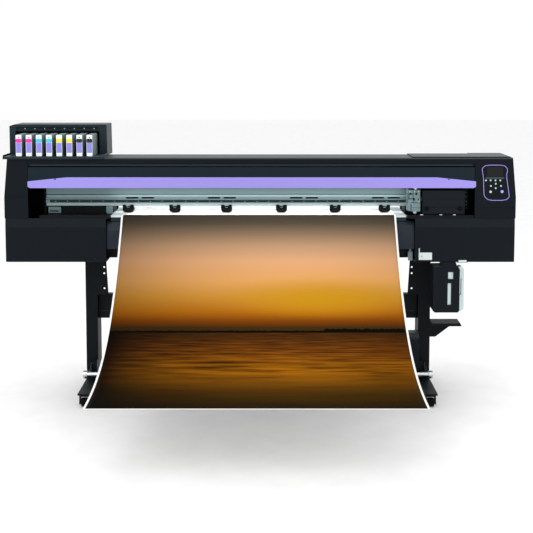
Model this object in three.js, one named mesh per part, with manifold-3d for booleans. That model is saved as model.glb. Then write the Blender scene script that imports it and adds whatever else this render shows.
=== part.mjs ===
// A roll-fed printer cutter for 1.37 m wide media, on its stand.
// Millimetres, +Z up, +X to the operator's right, the front faces -Y.
// It is drawn with X = 0 in the middle of the body, Y = 0 in the plane of the legs and Z = 0 on the floor.
// The whole group is then shifted so that its origin is the bottom centre of its bounding box.
import * as THREE from "three";
import { mergeVertices } from "three/addons/utils/BufferGeometryUtils.js";
import Module from "manifold-3d";

const wasm = await Module();
wasm.setup();

// ---------------------------------------------------------------- driving dimensions
const GAP = 0.3; // between pieces that touch
const BODY_HALF = 1270; // half of the body's width
const BODY_FRONT = -236;
const BODY_REAR = 170;
const BODY_BOTTOM = 711;
const WAIST_Z = 930; // joint between the upper and the lower side covers
const TOP_Z = 1234;
const OVERALL_Z = 1392; // top of the ink unit
const BULGE_Z = 1037; // the side covers lean inwards above this height
const LEAN = 18;
const WALL = 3;
const BAY_LEFT = -1152; // inner edges of the upper side covers
const BAY_RIGHT = 1066;
const LOWER_LEFT = -767; // inner edges of the lower side covers
const LOWER_RIGHT = 771;

const MEDIA_X = -7.5; // middle of the media
const MEDIA_HALF = 685.5; // 1371 wide
const MEDIA_THICK = 1;
const PLATEN = { left: -746, right: 731, front: -205, rear: 125, top: 941.5, bottom: 915 };

const BEAM = { left: -1087.7, right: 1051.7, front: -105, rear: -5, bottom: 978, top: 1130 };
const PLATE = 10; // thickness of the frame's side plates
const PAN = { front: -150, rear: 125, bottom: 720, top: PLATEN.bottom - GAP };

const STAND_X = -12; // middle of the stand
const LEG_IN = 829;
const LEG_OUT = 890;
const LEG_DEPTH = 60;
const FOOT_REACH = 350; // 700 overall depth of the stand
const FOOT_TOP = 72;
const CASTER_REACH = 96; // the foot is only a plate over this length at each end

const GRIT = { y: -70, radius: 12, shaft: 8 };
const PINCH = { radius: 9, half: 17, pivotY: 10, pivotZ: 973 };
const PINCH_X = [-671, -434, -171, 108, 381, 632];

const LEVER = { x: 755, y: -185, z: 785, tip: 712 };
const ROLL = { y: 215, z: 640, radius: 60, core: 38, bore: 32 };
const TENSION = { y: -150, z: 115, radius: 15, pivotY: -85, pivotZ: 150 };
const SHEET = { end: -1425, endZ: 338, power: 2.6, nose: 34 };

const INK = { left: -1270, right: -775, front: -95, rear: 86, floor: 1240 };
const CARTRIDGES = 8;
const CARTRIDGE = { firstX: -1193, pitch: 50, width: 30, height: 107, front: -236, rear: 58 };

// ---------------------------------------------------------------- shapes
const AXES = {
  x: new THREE.Matrix4().makeBasis(
    new THREE.Vector3(0, 1, 0), new THREE.Vector3(0, 0, 1), new THREE.Vector3(1, 0, 0)),
  y: new THREE.Matrix4().makeBasis(
    new THREE.Vector3(1, 0, 0), new THREE.Vector3(0, 0, 1), new THREE.Vector3(0, -1, 0)),
  z: new THREE.Matrix4(),
};

/** A box between two corners. */
function box(x0, x1, y0, y1, z0, z1) {
  const g = new THREE.BoxGeometry(x1 - x0, y1 - y0, z1 - z0);
  return g.translate((x0 + x1) / 2, (y0 + y1) / 2, (z0 + z1) / 2);
}

/** An outline carried along an axis: (y, z) along x, (x, z) along y, or (x, y) along z. */
function prism(axis, outline, from, to) {
  const points = outline.map(([u, v]) => new THREE.Vector2(u, v));
  if (THREE.ShapeUtils.isClockWise(points)) points.reverse();
  const g = new THREE.ExtrudeGeometry(new THREE.Shape(points), {
    depth: to - from, bevelEnabled: false, steps: 1,
  });
  g.applyMatrix4(AXES[axis]);
  const shift = axis === "y" ? [0, to, 0] : axis === "x" ? [from, 0, 0] : [0, 0, from];
  return g.translate(...shift);
}

/** A round bar along an axis; (a, b) is its centre in the other two axes. */
function rod(axis, from, to, a, b, radius, sides = 24) {
  const g = new THREE.CylinderGeometry(radius, radius, to - from, sides);
  const mid = (from + to) / 2;
  if (axis === "x") return g.rotateZ(Math.PI / 2).translate(mid, a, b);
  if (axis === "y") return g.translate(a, mid, b);
  return g.rotateX(Math.PI / 2).translate(a, b, mid);
}

/** A closed convex outline moved inwards by d. */
function inset(outline, d) {
  const n = outline.length;
  const area = outline.reduce((s, [u, v], i) => {
    const [p, q] = outline[(i + 1) % n];
    return s + u * q - p * v;
  }, 0);
  const side = Math.sign(area);
  const normal = (i) => {
    const [a, b] = outline[i % n];
    const [c, e] = outline[(i + 1) % n];
    const len = Math.hypot(c - a, e - b);
    return [(-side * (e - b)) / len, (side * (c - a)) / len];
  };
  return outline.map(([u, v], i) => {
    const [ax, ay] = normal((i + n - 1) % n);
    const [bx, by] = normal(i);
    const k = d / (1 + ax * bx + ay * by);
    return [u + k * (ax + bx), v + k * (ay + by)];
  });
}

/** An open path thickened to its left into a closed outline. */
function ribbon(path, thick) {
  const last = path.length - 1;
  const normal = (i) => {
    const [a, b] = path[i];
    const [c, e] = path[i + 1];
    const len = Math.hypot(c - a, e - b);
    return [-(e - b) / len, (c - a) / len];
  };
  const other = path.map(([u, v], i) => {
    const [ax, ay] = normal(Math.max(i - 1, 0));
    const [bx, by] = normal(Math.min(i, last - 1));
    const k = thick / (1 + ax * bx + ay * by);
    return [u + k * (ax + bx), v + k * (ay + by)];
  });
  return [...path, ...other.reverse()];
}

/** Points on an arc, angles in degrees. */
function arc(cy, cz, radius, from, to, steps) {
  return Array.from({ length: steps + 1 }, (_, i) => {
    const t = THREE.MathUtils.degToRad(from + ((to - from) * i) / steps);
    return [cy + radius * Math.cos(t), cz + radius * Math.sin(t)];
  });
}

// ---------------------------------------------------------------- joins and cuts
function solid(geometry) {
  const g = (geometry.index ? geometry.toNonIndexed() : geometry.clone());
  g.deleteAttribute("normal");
  g.deleteAttribute("uv");
  const merged = mergeVertices(g, 1e-3);
  return new wasm.Manifold(new wasm.Mesh({
    numProp: 3,
    vertProperties: merged.attributes.position.array,
    triVerts: new Uint32Array(merged.index.array),
  }));
}

function geometryOf(made) {
  const m = made.getMesh();
  const g = new THREE.BufferGeometry();
  g.setAttribute("position", new THREE.BufferAttribute(new Float32Array(m.vertProperties), 3));
  g.setIndex(new THREE.BufferAttribute(new Uint32Array(m.triVerts), 1));
  const flat = g.toNonIndexed();
  flat.computeVertexNormals();
  return flat;
}

/** Joins the first list of shapes and cuts the second list out of them. */
function build(joined, cuts = []) {
  let made = solid(joined[0]);
  for (const g of joined.slice(1)) made = made.add(solid(g));
  for (const g of cuts) made = made.subtract(solid(g));
  return geometryOf(made);
}

// ---------------------------------------------------------------- finishes
const finish = (color, roughness, metalness = 0) =>
  new THREE.MeshStandardMaterial({ color, roughness, metalness });
const FINISH = {
  cover: finish(0x1b2026, 0.55),
  stand: finish(0x20262d, 0.5, 0.2),
  trim: finish(0xa699ee, 0.35),
  aluminium: finish(0xa9b9bc, 0.35, 0.9),
  steel: finish(0xc4cccd, 0.3, 1),
  chassis: finish(0x2a3036, 0.5, 0.4),
  guide: finish(0x3a434e, 0.5),
  lever: finish(0x7d9094, 0.45),
  carriage: finish(0x1f262c, 0.5),
  rubber: finish(0x111315, 0.8),
  media: finish(0xf6f6f2, 0.45),
  cartridge: finish(0xeef0f0, 0.4),
  tank: finish(0xb9c9c8, 0.4),
  key: finish(0xdde6e2, 0.4),
  panel: finish(0x14181c, 0.3),
  grit: finish(0x8d9496, 0.7, 0.8),
};

const machine = new THREE.Group();

function piece(name, geometry, material, parent = machine) {
  const mesh = new THREE.Mesh(geometry, material);
  mesh.name = name;
  parent.add(mesh);
  return mesh;
}

// ---------------------------------------------------------------- stand
/** The two ends of a stretch of the stand, mirrored about its middle; side is -1 on the left. */
function standSpan(side, a, b) {
  const ends = [STAND_X + side * a, STAND_X + side * b];
  return [Math.min(...ends), Math.max(...ends)];
}

function foot(x0, x1) {
  const riser = FOOT_REACH - CASTER_REACH;
  const plate = FOOT_TOP - 8;
  return prism("x", [
    [-FOOT_REACH, plate], [-riser, plate], [-riser, 28], [riser, 28], [riser, plate],
    [FOOT_REACH, plate], [FOOT_REACH, FOOT_TOP], [-FOOT_REACH, FOOT_TOP],
  ], x0, x1);
}

/** A leg, its foot, its perforated gusset and the block that holds the tension bar's arm. */
function leg(side) {
  const [x0, x1] = standSpan(side, LEG_IN, LEG_OUT);
  const at = (v) => STAND_X + side * v;
  const top = PAN.bottom - GAP;
  const gusset = prism("y", [
    [at(LEG_IN + 3), 510], [at(772), 510], [at(783), 705], [at(LEG_IN + 3), 705],
  ], -LEG_DEPTH, -LEG_DEPTH + 5);
  const block = box(...standSpan(side, LEG_IN, 850), -108, -LEG_DEPTH + 3, FOOT_TOP - 4, 172);
  const pin = rod("x", ...standSpan(side, 848, 876), TENSION.pivotY, TENSION.pivotZ, 6, 16);
  const holes = [543, 622, 654].map((z) => rod("y", -70, -50, at(793), z, 5, 12));
  const bore = box(x0 + 4, x1 - 4, -LEG_DEPTH + 4, LEG_DEPTH - 4, FOOT_TOP + 4, top + 5);
  const joined = [foot(x0, x1), box(x0, x1, -LEG_DEPTH, LEG_DEPTH, FOOT_TOP - 4, top), gusset, block, pin];
  if (side > 0) joined.push(...dripShelf(x1));
  return build(joined, [...holes, bore]);
}

/** The shelf under the waste-ink tank, with its triangular web, on the right leg. */
function dripShelf(legX) {
  const x0 = legX - 3;
  return [
    box(x0, 1020, -155, -LEG_DEPTH + 10, 377, 381),
    box(x0, 1020, -155, -151, 366, 381),
    prism("y", [[1018, 381], [1027, 368], [1018, 366]], -155, -LEG_DEPTH + 10),
    prism("y", [[x0, 379], [1010, 379], [1000, 360], [907, 289], [x0, 289]], -LEG_DEPTH, -LEG_DEPTH + 4),
  ];
}

/** One swivel caster: its fork turns about the stem, its wheel about the axle. */
function caster(label, x, sideY) {
  const stemY = sideY * 305;
  const wheel = { radius: 23, half: 16, y: stemY + sideY * 14 };
  const centreZ = wheel.radius * Math.cos(Math.PI / 24); // it stands on a flat of its 24 sides
  const crown = FOOT_TOP - 8 - GAP;
  const cheek = (a) => prism("x", [
    [wheel.y - 10, centreZ - 10], [wheel.y + 10, centreZ - 10], [stemY + 18, crown - 4],
    [stemY - 18, crown - 4],
  ], x + a, x + a + 6);
  piece(`caster_fork_${label}`, build([
    box(x - 26, x + 26, stemY - 20, stemY + 20, crown - 8, crown),
    cheek(-26), cheek(20),
    rod("x", x - 24, x + 24, wheel.y, centreZ, 4, 16),
  ]), FINISH.stand);
  const profile = [
    [4.4, -wheel.half], [wheel.radius - 2, -wheel.half], [wheel.radius, -wheel.half + 3],
    [wheel.radius, wheel.half - 3], [wheel.radius - 2, wheel.half], [4.4, wheel.half],
    [4.4, -wheel.half],
  ].map(([r, a]) => new THREE.Vector2(r, a));
  const tyre = new THREE.LatheGeometry(profile, 24, Math.PI / 24);
  piece(`caster_wheel_${label}`, build([
    tyre.rotateZ(Math.PI / 2).translate(x, wheel.y, centreZ),
  ]), FINISH.rubber);
}

function stand() {
  piece("left_leg", leg(-1), FINISH.stand);
  piece("right_leg", leg(1), FINISH.stand);
  const inner = LEG_IN - GAP;
  const [x0, x1] = [STAND_X - inner, STAND_X + inner];
  piece("stand_cross_beam", build(
    [box(x0, x1, -22, 22, 379, 506)],
    [box(x0 - 1, x1 + 1, -18, 18, 383, 502)],
  ), FINISH.stand);
  const middle = (LEG_IN + LEG_OUT) / 2;
  caster("front_left", STAND_X - middle, -1);
  caster("front_right", STAND_X + middle, -1);
  caster("rear_left", STAND_X - middle, 1);
  caster("rear_right", STAND_X + middle, 1);
}

// ---------------------------------------------------------------- chassis and print deck
const GRIT_Z = PLATEN.top + 0.2 - GRIT.radius; // the sleeves stand 0.2 proud of the platen

/** A floor beside the platen, with the raised edge along its front and a wall along its back. */
function deck(x0, x1, wall0, wall1) {
  return [
    box(x0, x1, -234, 100, WAIST_Z + 0.5, 938),
    box(x0, x1, -234, -218, WAIST_Z + 0.5, 947),
    box(x0, x1, -110, 100, PAN.top - 4, WAIST_Z + 2),
    box(wall0, wall1, 96, 100, WAIST_Z + 0.5, 1010),
  ];
}

/** An end bracket: the grit roller turns in its front, and the bar of the pinch rollers behind the beam. */
const endBracket = (x0, x1) => [
  box(x0, x1, -104, 0, PAN.top - 2, BEAM.bottom - GAP),
  box(x0, x1, BEAM.rear + 1, 24, PAN.top - 2, 990),
];

/** The plates behind the machine that hold the supply roll on two stubs. */
function rollHolder(side) {
  const at = (v) => MEDIA_X + side * v;
  const span = (a, b) => [Math.min(at(a), at(b)), Math.max(at(a), at(b))];
  return [
    prism("x", [
      [70, 722], [70, 745], [140, 745], [262, 665], [262, 620], [240, 598], [190, 598],
      [170, 620], [120, 700], [100, 722],
    ], ...span(716, 730)),
    rod("x", ...span(665, 718), ROLL.y, ROLL.z, ROLL.bore - 1, 24),
  ];
}

function baseFrame() {
  const left = BEAM.left - GAP;
  const right = BEAM.right + GAP;
  const side = (x0, x1) => prism("x", [
    [PAN.front, PAN.bottom], [PAN.rear, PAN.bottom], [PAN.rear, 1060], [60, 1150],
    [BEAM.front + 5, 1150], [BEAM.front + 5, 940], [PAN.front, 940],
  ], x0, x1);
  const tab = (x0, x1) => box(x0, x1, -200, PAN.front + 2, LEVER.z - 12, LEVER.z + 12);
  piece("base_frame", build([
    box(left - PLATE, right + PLATE, PAN.front, PAN.rear, PAN.bottom, PAN.top),
    side(left - PLATE, left), side(right, right + PLATE),
    ...deck(left - PLATE, PLATEN.left - 2, BAY_LEFT + 3, PLATEN.left - 2),
    ...deck(PLATEN.right + 4, right + PLATE, PLATEN.right + 4, BAY_RIGHT - 3),
    ...endBracket(-780, PLATEN.left - 1), ...endBracket(PLATEN.right + 4, 768),
    box(-1011, -782, -104, -30, 936, 974), // housing at the left end of the platen
    tab(734, 742), tab(767.5, LOWER_RIGHT - 1),
    rod("x", 738, 769, LEVER.y, LEVER.z, 5, 16),
    ...rollHolder(-1), ...rollHolder(1),
  ], [
    box(left, right, PAN.front + 6, PAN.rear - 6, PAN.bottom + 6, PAN.top - 12),
    box(PLATEN.left + 6, PLATEN.right - 6, PAN.front + 6, PAN.rear - 6, PAN.top - 20, PAN.top + 5),
    rod("x", -775, PLATEN.left, PINCH.pivotY, PINCH.pivotZ, 6.6, 16),
    rod("x", PLATEN.right, 764, PINCH.pivotY, PINCH.pivotZ, 6.6, 16),
    rod("x", -775, PLATEN.left, GRIT.y, GRIT_Z, GRIT.shaft + 0.6, 16),
    rod("x", PLATEN.right, 764, GRIT.y, GRIT_Z, GRIT.shaft + 0.6, 16),
  ]), FINISH.chassis);
}

function carriageBeam() {
  const { left, right, front, rear, bottom, top } = BEAM;
  const upper = front + 7;
  piece("carriage_beam", build([
    prism("x", [
      [front, bottom], [rear, bottom], [rear, top], [upper, top], [upper, 1036], [upper - 4, 1033],
      [front, 1033], [front, 1010], [front - 8, 1010], [front - 8, 996], [front, 996],
    ], left, right),
  ], [
    box(left - 1, right + 1, upper + 6, rear - 6, bottom + 6, 1030),
    box(left - 1, right + 1, upper + 6, rear - 6, 1037, top - 6),
  ]), FINISH.aluminium);
}

function printDeck() {
  const { left, right, front, rear, top, bottom } = PLATEN;
  const slots = PINCH_X.map((x) => box(x - 24, x + 24, GRIT.y - 15, GRIT.y + 15, 930, 950));
  piece("platen", build([
    prism("x", [
      [front + 8, bottom], [rear, bottom], [rear, top - 6], [rear - 6, top], [front + 5, top],
      [front, top - 8],
    ], left, right),
  ], [
    box(left - 1, right + 1, GRIT.y - 15, GRIT.y + 15, bottom - 1, top - 3.5),
    ...slots,
  ]), FINISH.aluminium);

  const guide = ribbon([
    [-200, 912], [-210, 895], [-218, 868], [-222, 840], [-223, 812], [-220, 775],
  ], WALL);
  piece("front_paper_guide", build([
    prism("x", guide, LOWER_LEFT + 1, LOWER_RIGHT - 1),
    box(LOWER_LEFT + 1, LOWER_RIGHT - 1, -199, PAN.front - GAP, 908.5, 912),
  ]), FINISH.guide);

  const sleeves = PINCH_X.map((x) => rod("x", x - 20, x + 20, GRIT.y, GRIT_Z, GRIT.radius));
  piece("grit_roller", build([
    rod("x", left - 16, right + 20, GRIT.y, GRIT_Z, GRIT.shaft, 16), ...sleeves,
  ]), FINISH.grit);
}

// ---------------------------------------------------------------- pinch rollers
const PINCH_Z = PLATEN.top + 0.5 + MEDIA_THICK + GAP + PINCH.radius;

/** The body of one roller head: an arm back under the beam to the bar, a block and two ears in front. */
function rollerHead(x) {
  return [
    box(x - 14, x + 14, -88, PINCH.pivotY + 8, 951, 966),
    box(x - 14, x + 14, PINCH.pivotY - 8, PINCH.pivotY + 8, 951, PINCH.pivotZ),
    box(x - 25, x + 25, -110, -52, 948, 970),
    box(x - 28, x - 12, -112, -107, 955, 983),
    box(x + 12, x + 28, -112, -107, 955, 983),
  ];
}

/** The room for one roller, open below. */
function rollerRoom(x) {
  const reach = PINCH.radius + 1.5;
  return [
    rod("x", x - 18.5, x + 18.5, GRIT.y, PINCH_Z, reach, 20),
    box(x - 18.5, x + 18.5, GRIT.y - reach, GRIT.y + reach, 940, PINCH_Z),
  ];
}

/** The six roller heads are on one pivoting bar, and rise and fall together. */
function pinchRollers() {
  const bar = rod("x", PLATEN.left - 18, PLATEN.right + 22, PINCH.pivotY, PINCH.pivotZ, 6, 16);
  let heads = solid(bar);
  for (const g of PINCH_X.flatMap(rollerHead)) heads = heads.add(solid(g));
  for (const g of PINCH_X.flatMap(rollerRoom)) heads = heads.subtract(solid(g));
  for (const x of PINCH_X) heads = heads.add(solid(rod("x", x - 22, x + 22, GRIT.y, PINCH_Z, 3, 12)));
  piece("pinch_roller_bar", geometryOf(heads), FINISH.carriage);
  PINCH_X.forEach((x, i) => {
    piece(`pinch_roller_${i + 1}`, build(
      [rod("x", x - PINCH.half, x + PINCH.half, GRIT.y, PINCH_Z, PINCH.radius, 20)],
      [rod("x", x - 18, x + 18, GRIT.y, PINCH_Z, 3.5, 12)],
    ), FINISH.rubber);
  });
}

/** The lever under the front guide that lifts the pinch rollers. */
function clampLever() {
  const { x, y, z, tip } = LEVER;
  piece("clamp_lever", build([
    rod("x", x - 11, x + 11, y, z, 12),
    box(x - 5, x + 5, y - 5, y + 5, tip + 30, z - 4),
    box(x - 11, x + 11, y - 8, y + 4, tip, tip + 46),
  ], [
    rod("x", x - 14, x + 14, y, z, 5.6, 16),
  ]), FINISH.lever);
}

// ---------------------------------------------------------------- covers
/** The outer face of a side cover leans inwards above the bulge. */
function lean(geometry, edge, side) {
  const p = geometry.attributes.position;
  for (let i = 0; i < p.count; i += 1) {
    const rise = Math.max(0, p.getZ(i) - BULGE_Z) / (TOP_Z - BULGE_Z);
    if (Math.abs(p.getX(i) - edge) < 1) p.setX(i, p.getX(i) - side * LEAN * rise);
  }
  return geometry;
}

/** A thin shell between two planes of X, open on its inner side. */
function shell(outline, inner, outer, side) {
  const far = outer - side * WALL;
  const near = inner - side;
  return {
    skin: lean(prism("x", outline, Math.min(inner, outer), Math.max(inner, outer)), outer, side),
    room: lean(prism("x", inset(outline, WALL), Math.min(near, far), Math.max(near, far)), far, side),
  };
}

function sideCovers() {
  const outline = [
    [BODY_FRONT, WAIST_Z + 1], [BODY_FRONT, BULGE_Z], [BODY_FRONT, 1228], [-230, TOP_Z],
    [-20, TOP_Z], [120, 1204], [BODY_REAR - 6, 1110], [BODY_REAR, BULGE_Z], [BODY_REAR, WAIST_Z + 1],
  ];
  const floor = (x0, x1) => box(x0, x1, BODY_FRONT + WALL, BODY_REAR - WALL, WAIST_Z - 2, 940);
  const left = shell(outline, BAY_LEFT, -BODY_HALF, -1);
  piece("left_side_cover", build([left.skin], [
    left.room, floor(-BODY_HALF + WALL, BAY_LEFT + 1),
  ]), FINISH.cover);
  const right = shell(outline, BAY_RIGHT, BODY_HALF, 1);
  piece("right_side_cover", build([
    right.skin,
    box(BAY_RIGHT + 4, 1241, -228, 12, TOP_Z - 2, TOP_Z + 5),
    box(755, BAY_RIGHT + 6, -228, -22, TOP_Z + GAP, TOP_Z + 5),
  ], [
    right.room, floor(BAY_RIGHT - 1, BODY_HALF - WALL),
    prism("y", panelOutline(1), BODY_FRONT - 1, BODY_FRONT + 1.2),
  ]), FINISH.cover);
}

function lowerCovers() {
  const crease = 886;
  const outline = [
    [BODY_FRONT, crease], [BODY_FRONT + 3, WAIST_Z], [BODY_REAR, WAIST_Z], [BODY_REAR, 760],
    [BODY_REAR - 30, BODY_BOTTOM], [BODY_FRONT + 6, BODY_BOTTOM], [BODY_FRONT, BODY_BOTTOM + 6],
  ];
  for (const side of [-1, 1]) {
    const outer = side * (BODY_HALF - 2);
    const inner = side < 0 ? LOWER_LEFT : LOWER_RIGHT;
    const lo = Math.min(inner, outer);
    const hi = Math.max(inner, outer);
    const [r0, r1] = side < 0 ? [lo + WALL, hi + 1] : [lo - 1, hi - WALL];
    const [n0, n1] = standSpan(side, LEG_IN - 4, LEG_OUT + 4);
    piece(side < 0 ? "left_lower_cover" : "right_lower_cover", build([
      prism("x", outline, lo, hi),
    ], [
      prism("x", inset(outline, WALL), r0, r1),
      box(r0, r1, BODY_FRONT + 8, BODY_REAR - WALL, 900, WAIST_Z + 5),
      box(n0, n1, -LEG_DEPTH - 4, LEG_DEPTH + 4, BODY_BOTTOM - 5, BODY_BOTTOM + 10),
    ]), FINISH.cover);
  }
}

function hood() {
  const section = ribbon([
    [BODY_REAR, 985], [BODY_REAR - 6, 1110], [120, 1204], [-20, TOP_Z], [-230, TOP_Z],
    [BODY_FRONT, 1228], [BODY_FRONT, 1204], [-230, 1204], [-230, 1191],
  ], WALL);
  piece("top_cover", build([prism("x", section, BAY_LEFT + GAP, BAY_RIGHT - GAP)]), FINISH.cover);
  const panel = [
    [-233, 1187], [BODY_FRONT, 1187], [BODY_FRONT, 1083], [-226, 1083], [-226, 1086],
    [-233, 1086],
  ];
  piece("front_cover", build([prism("x", panel, BAY_LEFT + 2, BAY_RIGHT - 2)]), FINISH.cover);
  const band = [
    [-1140, 1083.5], [1058, 1083.5], [1070, 1090], [1070, 1117], [875, 1137], [-960, 1137],
    [-1152, 1117], [-1152, 1090],
  ];
  piece("front_trim", build([
    prism("y", band, BODY_FRONT - 4.3, BODY_FRONT - GAP),
  ]), FINISH.trim);
}

// ---------------------------------------------------------------- carriages
const TOOL = { x: 778, y: -186, radius: 8 };

function carriages() {
  const rear = BEAM.front - 11;
  piece("print_carriage", build([
    box(809, 1021, -215, -150, 948, 1069),
    box(809, 1021, -152, rear, 960, 1095),
  ], [
    box(815, 1015, -209, -158, 940, 956),
  ]), FINISH.carriage);
  piece("cutter_head", build([
    box(738, 803, -142, rear, 984, 1078),
    box(742, 800, -200, -140, 996, 1070),
    box(756, 800, -206, -164, 962, 1000),
    box(738, 752, -205, -138, 965, 1010),
  ], [
    rod("z", 950, 1080, TOOL.x, TOOL.y, TOOL.radius + 1, 20),
    box(736, 764, -201, -150, 1022, 1052),
  ]), FINISH.aluminium);
  piece("cutter_holder", build([
    rod("z", 951, 1080, TOOL.x, TOOL.y, TOOL.radius, 20),
    rod("z", 951, 960, TOOL.x, TOOL.y, 11, 20),
    rod("z", 1076, 1084, TOOL.x, TOOL.y, 12, 20),
    rod("z", 948.3, 953, TOOL.x, TOOL.y, 3, 12),
  ]), FINISH.steel);
}

// ---------------------------------------------------------------- ink unit
function inkUnit() {
  const { left, right, front, rear, floor } = INK;
  const seat = TOP_Z + GAP;
  const outline = [
    [left, seat], [right, seat], [right - 3, OVERALL_Z], [left + 26, OVERALL_Z], [left, OVERALL_Z - 8],
  ];
  piece("ink_unit_housing", build([
    prism("y", outline, front, rear),
    box(left, right + 3, -250, front + 2, seat, floor),
    box(left, right + 3, -252, -246, 1228, floor),
    box(left, left + 4, -250, front + 2, floor - 2, floor + 8),
    box(right - 1, right + 3, -250, front + 2, floor - 2, floor + 8),
  ], [
    box(left + 30, right - 40, front - 1, rear - 20, floor, OVERALL_Z - 36),
    box(left + 36, right - 46, front - 1, front + 12, OVERALL_Z - 40, OVERALL_Z - 14),
  ]), FINISH.cover);
  const { width, height, pitch } = CARTRIDGE;
  const z0 = floor + 0.5;
  for (let i = 0; i < CARTRIDGES; i += 1) {
    const x = CARTRIDGE.firstX + i * pitch;
    piece(`ink_cartridge_${i + 1}`, build([
      prism("y", [
        [x - width / 2, z0], [x + width / 2, z0], [x + width / 2, z0 + height - 2],
        [x + width / 2 - 2, z0 + height], [x - width / 2 + 2, z0 + height],
        [x - width / 2, z0 + height - 2],
      ], CARTRIDGE.front, CARTRIDGE.rear),
    ]), FINISH.cartridge);
  }
}

// ---------------------------------------------------------------- operation panel
const KEYS = {
  function_key_1: [1119, 1122, 5.5],
  function_key_2: [1142, 1122, 5.5],
  function_key_3: [1166, 1122, 5.5],
  function_key_4: [1190, 1122, 5.5],
  jog_key_up: [1168, 1105, 5.5],
  jog_key_left: [1144, 1094, 5.5],
  jog_key_right: [1194, 1094, 5.5],
  jog_key_down: [1168, 1083, 5.5],
  end_key: [1143, 1065, 8],
  enter_key: [1200, 1066, 9.5],
};

/** The panel's eight-sided outline with its waist, grown by d. */
function panelOutline(d) {
  return inset([
    [1117, 1200], [1207, 1200], [1225, 1184], [1228, 1165], [1222, 1150], [1236, 1060],
    [1239, 1038], [1219, 1020], [1133, 1020], [1109, 1043], [1107, 1074], [1104, 1138],
    [1098, 1169], [1098, 1184],
  ], -d);
}

function operationPanel() {
  const face = BODY_FRONT - 2;
  const back = BODY_FRONT + 0.9;
  const spots = Object.entries(KEYS);
  piece("operation_panel", build([prism("y", panelOutline(0), face, back)], [
    ...spots.map(([, [x, z, r]]) => rod("y", face - 1, back + 1, x, z, r + 0.5, 16)),
    box(1124, 1203, face - 1, face + 0.6, 1139, 1189),
  ]), FINISH.panel);
  for (const [name, [x, z, r]] of spots) {
    piece(name, build([rod("y", face - 1.5, back - 1.1, x, z, r, 16)]), FINISH.key);
  }
}

// ---------------------------------------------------------------- waste ink
function wasteInk() {
  const [x0, x1] = [868, 1000];
  const [front, rear] = [-226, -125];
  piece("waste_tank_cover", build([
    prism("y", [
      [x0, 461], [x0 + 8, 453], [x1 - 8, 453], [x1, 461], [x1, 674], [x1 - 14, 688],
      [x1 - 22, 710.7], [x0 + 52, 710.7], [x0 + 44, 688], [x0, 688],
    ], front, rear),
  ], [
    box(x0 + 5, x1 + 1, front + 4, rear + 1, 458, 684),
    box(941, 967, front - 1, front + 5, 624, 659),
    box(940, 957, front - 1, front + 5, 493, 603),
  ]), FINISH.cover);
  piece("waste_tank", build([
    box(x0 + 6, x1, front + 6, rear - 4, 460, 678),
    prism("y", [
      [x1 - 2, 456], [x1 + 14, 456], [x1 + 26, 468], [x1 + 26, 670], [x1 + 12, 684], [x1 - 2, 684],
    ], -200, -160),
  ], [
    box(x1 - 1, x1 + 13, -201, -159, 538, 623),
  ]), FINISH.tank);
}

// ---------------------------------------------------------------- take-up
function takeUp() {
  const [u0, u1] = standSpan(1, 772, LEG_IN - GAP);
  piece("take_up_drive_unit", build([
    prism("x", [
      [-112, 76], [-8, 76], [-8, 292], [-26, 317], [-94, 317], [-112, 296],
    ], u0, u1),
    rod("x", u0 - 18, u0 + 2, -60, 200, 24, 24),
  ]), FINISH.cover);
  const arm = (side) => prism("x", [
    [TENSION.y - 9, TENSION.z - 2], [TENSION.y - 5, TENSION.z + 10],
    [TENSION.pivotY - 6, TENSION.pivotZ + 12], [TENSION.pivotY + 11, TENSION.pivotZ + 6],
    [TENSION.pivotY + 8, TENSION.pivotZ - 11], [TENSION.y + 5, TENSION.z - 10],
  ], ...standSpan(side, 856, 864));
  const collar = (side) =>
    rod("x", ...standSpan(side, 872, 892), TENSION.y, TENSION.z, 21, 20);
  const [b0, b1] = [STAND_X - 894, STAND_X + 894];
  piece("tension_bar", build([
    rod("x", b0, b1, TENSION.y, TENSION.z, TENSION.radius, 20),
    arm(-1), arm(1), collar(-1), collar(1),
  ], [-1, 1].map((s) => rod("x", ...standSpan(s, 850, 870), TENSION.pivotY, TENSION.pivotZ, 6.6, 16))),
  FINISH.steel);
}

// ---------------------------------------------------------------- media
/** The web's under side: up from the supply roll, over the platen, and out to the front. */
function webPath() {
  const under = PLATEN.top + 0.5;
  const rearY = ROLL.y - ROLL.radius - GAP - MEDIA_THICK;
  const bend = 28;
  const rise = arc(rearY - bend, under - bend, bend, 0, 90, 6);
  const { end, endZ, power, nose } = SHEET;
  const browY = PLATEN.front + 5;
  const brow = arc(browY, under - nose, nose, 90, 142, 5);
  const [startY, startZ] = brow[brow.length - 1];
  const sweep = Array.from({ length: 24 }, (_, i) => {
    const s = 1 - (i + 1) / 24;
    return [end + (startY - end) * s, endZ + (startZ - endZ) * s ** power];
  });
  return [[rearY, ROLL.z], ...rise, ...brow, ...sweep];
}

function media() {
  const [x0, x1] = [MEDIA_X - MEDIA_HALF, MEDIA_X + MEDIA_HALF];
  piece("media_sheet", build([
    prism("x", ribbon(webPath(), -MEDIA_THICK), x0, x1),
  ]), FINISH.media);
  piece("supply_roll", build([
    rod("x", x0, x1, ROLL.y, ROLL.z, ROLL.radius, 32),
    rod("x", x0 - 20, x1 + 20, ROLL.y, ROLL.z, ROLL.core, 24),
  ], [
    rod("x", x0 - 21, x0 + 26, ROLL.y, ROLL.z, ROLL.bore, 24),
    rod("x", x1 - 26, x1 + 21, ROLL.y, ROLL.z, ROLL.bore, 24),
  ]), FINISH.media);
}

stand();
baseFrame();
carriageBeam();
printDeck();
pinchRollers();
clampLever();
sideCovers();
lowerCovers();
hood();
carriages();
inkUnit();
operationPanel();
wasteInk();
takeUp();
media();

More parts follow.
